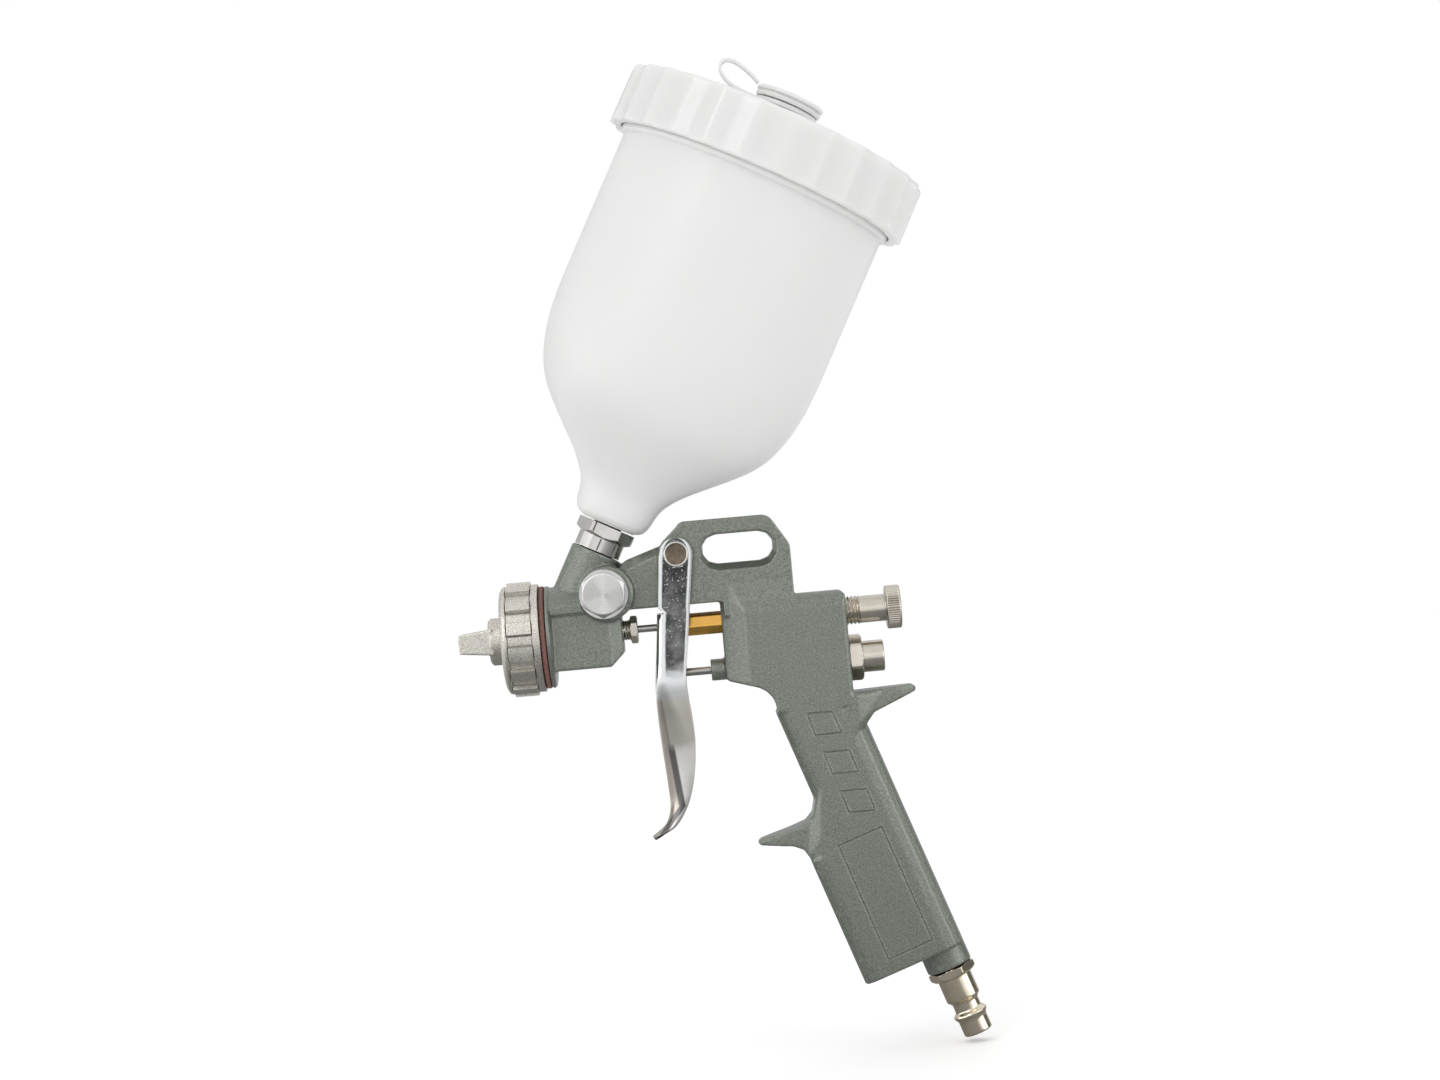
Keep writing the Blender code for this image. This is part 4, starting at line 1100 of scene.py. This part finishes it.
for build in (
    body_casting, air_cap_ring, air_cap, head_gasket, side_plug, packing_nut, needle, needle_collar,
    fluid_knob, air_valve_cap, valve_stem, air_nipple, trigger, pivot_stud, pivot_screw, cup_fitting,
    paint_cup, cup_lid, vent_cap, vent_tether,
):  # fmt: skip
    build()

for part in frame["record"]["subparts"]:
    carried = frame["nodes"][part["node"]]
    if not carried.hide_render:
        carried.data.materials.clear()
        carried.data.materials.append(LOOKS[part["material_slot"]])


# Studio


FLOOR_SIZE = 2500.0
FLOOR_DROP = 0.5
FLOOR_GLOW = 0.16  # what the camera sees above the lit floor, so that the floor ends without a horizon


def floor():
    """A pale floor. What shines sees it dark below the gun and white far away."""
    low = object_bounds()[0].z
    shape = bmesh.new()
    bmesh.ops.create_grid(shape, x_segments=1, y_segments=1, size=FLOOR_SIZE)
    made = solid("floor", shape, Matrix.Translation((0.0, 0.0, low - FLOOR_DROP * MM)))
    look = Look("pale_floor", (0.94, 0.94, 0.94), 0.0, 0.6)
    pale = look.mix(look.noise(60.0), (0.935, 0.935, 0.935), (0.95, 0.95, 0.95))
    rays = look.node("LightPath").outputs
    # Painted reflection: only what shines sees the floor darker near the gun.
    mirrored = look.ramp(look.maths("DIVIDE", look.length(look.where), 2.0), (0.15, 0.2), (0.65, 1.0))
    look.set("Base Color", look.mix(rays["Is Glossy Ray"], pale, mirrored))
    look.set("Emission Color", (1.0, 1.0, 1.0))
    look.set("Emission Strength", look.maths("MULTIPLY", rays["Is Camera Ray"], FLOOR_GLOW))
    made.data.materials.append(look.material)
    made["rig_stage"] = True


BRIGHTEST = 2.0  # ramps end at 1, so they hold brightness divided by this
WALLS = [  # what polished faces mirror: degrees to the right of the camera's side, and brightness
    (-180, 0.5), (-112, 0.5), (-100, 1.95), (-48, 1.95), (-40, 1.05), (7, 1.05), (10, 0.45), (17, 0.45),
    (21, 1.0), (45, 1.0), (52, 1.9), (84, 1.9), (92, 0.12), (128, 0.12), (142, 0.5), (180, 0.5),
]  # fmt: skip
CAMERA_DARK, CEILING, GROUND = 0.03, 0.78, 0.25


def studio():
    """A soft white room for diffuse light, and a room of white screens and dark gaps for what shines."""
    world = bpy.data.worlds.new("studio")
    bpy.context.scene.world = world
    world.use_nodes = True
    room = Nodes(world.node_tree)
    room.tree.nodes.clear()

    def grey(brightness):
        return (brightness / BRIGHTEST,) * 3

    def background(colour, strength=1.0):
        return room.node("Background", {"Color": colour, "Strength": strength}).outputs[0]

    def choose(factor, a, b):
        return room.node("MixShader", {0: factor, 1: a, 2: b}).outputs[0]

    x, y, z = room.node("SeparateXYZ", {0: room.node("TexCoord").outputs["Generated"]}).outputs
    # Round the room, 0.5 is toward the camera, 0 and 1 are behind the gun, and the right side is above 0.5.
    azimuth = room.maths("ARCTAN2", x, room.maths("MULTIPLY", y, -1.0))
    around = room.maths("ADD", room.maths("DIVIDE", azimuth, 2 * math.pi), 0.5)
    height = room.maths("ADD", room.maths("MULTIPLY", z, 0.5), 0.5)
    walls = room.ramp(around, *[(0.5 + degrees / 360, level / BRIGHTEST) for degrees, level in WALLS])
    in_level = room.ramp(height, (0.471, 0.0), (0.476, 1.0), (0.51, 1.0), (0.52, 0.0))
    in_side = room.ramp(around, (0.485, 0.0), (0.489, 1.0), (0.503, 1.0), (0.506, 0.0))
    by_camera = room.maths("MULTIPLY", in_level, in_side)
    mirrored = room.mix(by_camera, walls, grey(CAMERA_DARK))
    mirrored = room.mix(room.ramp(height, (0.6, 0.0), (0.78, 1.0)), mirrored, grey(CEILING))
    mirrored = room.mix(room.ramp(height, (0.16, 1.0), (0.38, 0.0)), mirrored, grey(GROUND))
    soft = room.ramp(height, (0.0, 0.82), (0.45, 0.92), (1.0, 0.98))
    rays = room.node("LightPath").outputs
    lit = choose(rays["Is Glossy Ray"], background(soft), background(mirrored, BRIGHTEST))
    seen = choose(rays["Is Camera Ray"], lit, background((1.0, 1.0, 1.0)))
    room.node("OutputWorld", {0: seen})


def softbox(name, at, width, height, watts):
    """A rectangular light at this place, aimed at the origin."""
    light = bpy.data.lights.new(name, "AREA")
    light.shape = "RECTANGLE"
    light.size = width
    light.size_y = height
    light.energy = watts
    made = bpy.data.objects.new(name, light)
    made.location = at
    made.rotation_euler = (-Vector(at)).to_track_quat("-Z", "Y").to_euler()
    bpy.context.scene.collection.objects.link(made)


CAMERA_LENS = 73.1
CAMERA_DISTANCE = 1.0  # metres
CAMERA_ROLL = -5.1
CAMERA_CENTRE = Vector((-0.0057, 0.0, -0.002))  # metres


def camera():
    """A level camera that looks square at the gun's side, rolled a little."""
    lens = bpy.data.cameras.new("camera")
    lens.lens = CAMERA_LENS
    made = bpy.data.objects.new("camera", lens)
    bpy.context.scene.collection.objects.link(made)
    at = CAMERA_CENTRE + Vector((0.0, -CAMERA_DISTANCE, 0.0))
    made.matrix_world = Matrix.Translation(at) @ TO_SIDE @ Matrix.Rotation(math.radians(CAMERA_ROLL), 4, "Z")
    bpy.context.scene.camera = made


floor()
studio()
softbox("key", at=(-0.9, -1.3, 1.1), width=0.7, height=0.7, watts=3.6)
softbox("fill", at=(1.2, -1.1, 0.5), width=0.6, height=0.9, watts=1.8)
camera()
bpy.context.scene.view_settings.view_transform = "Standard"
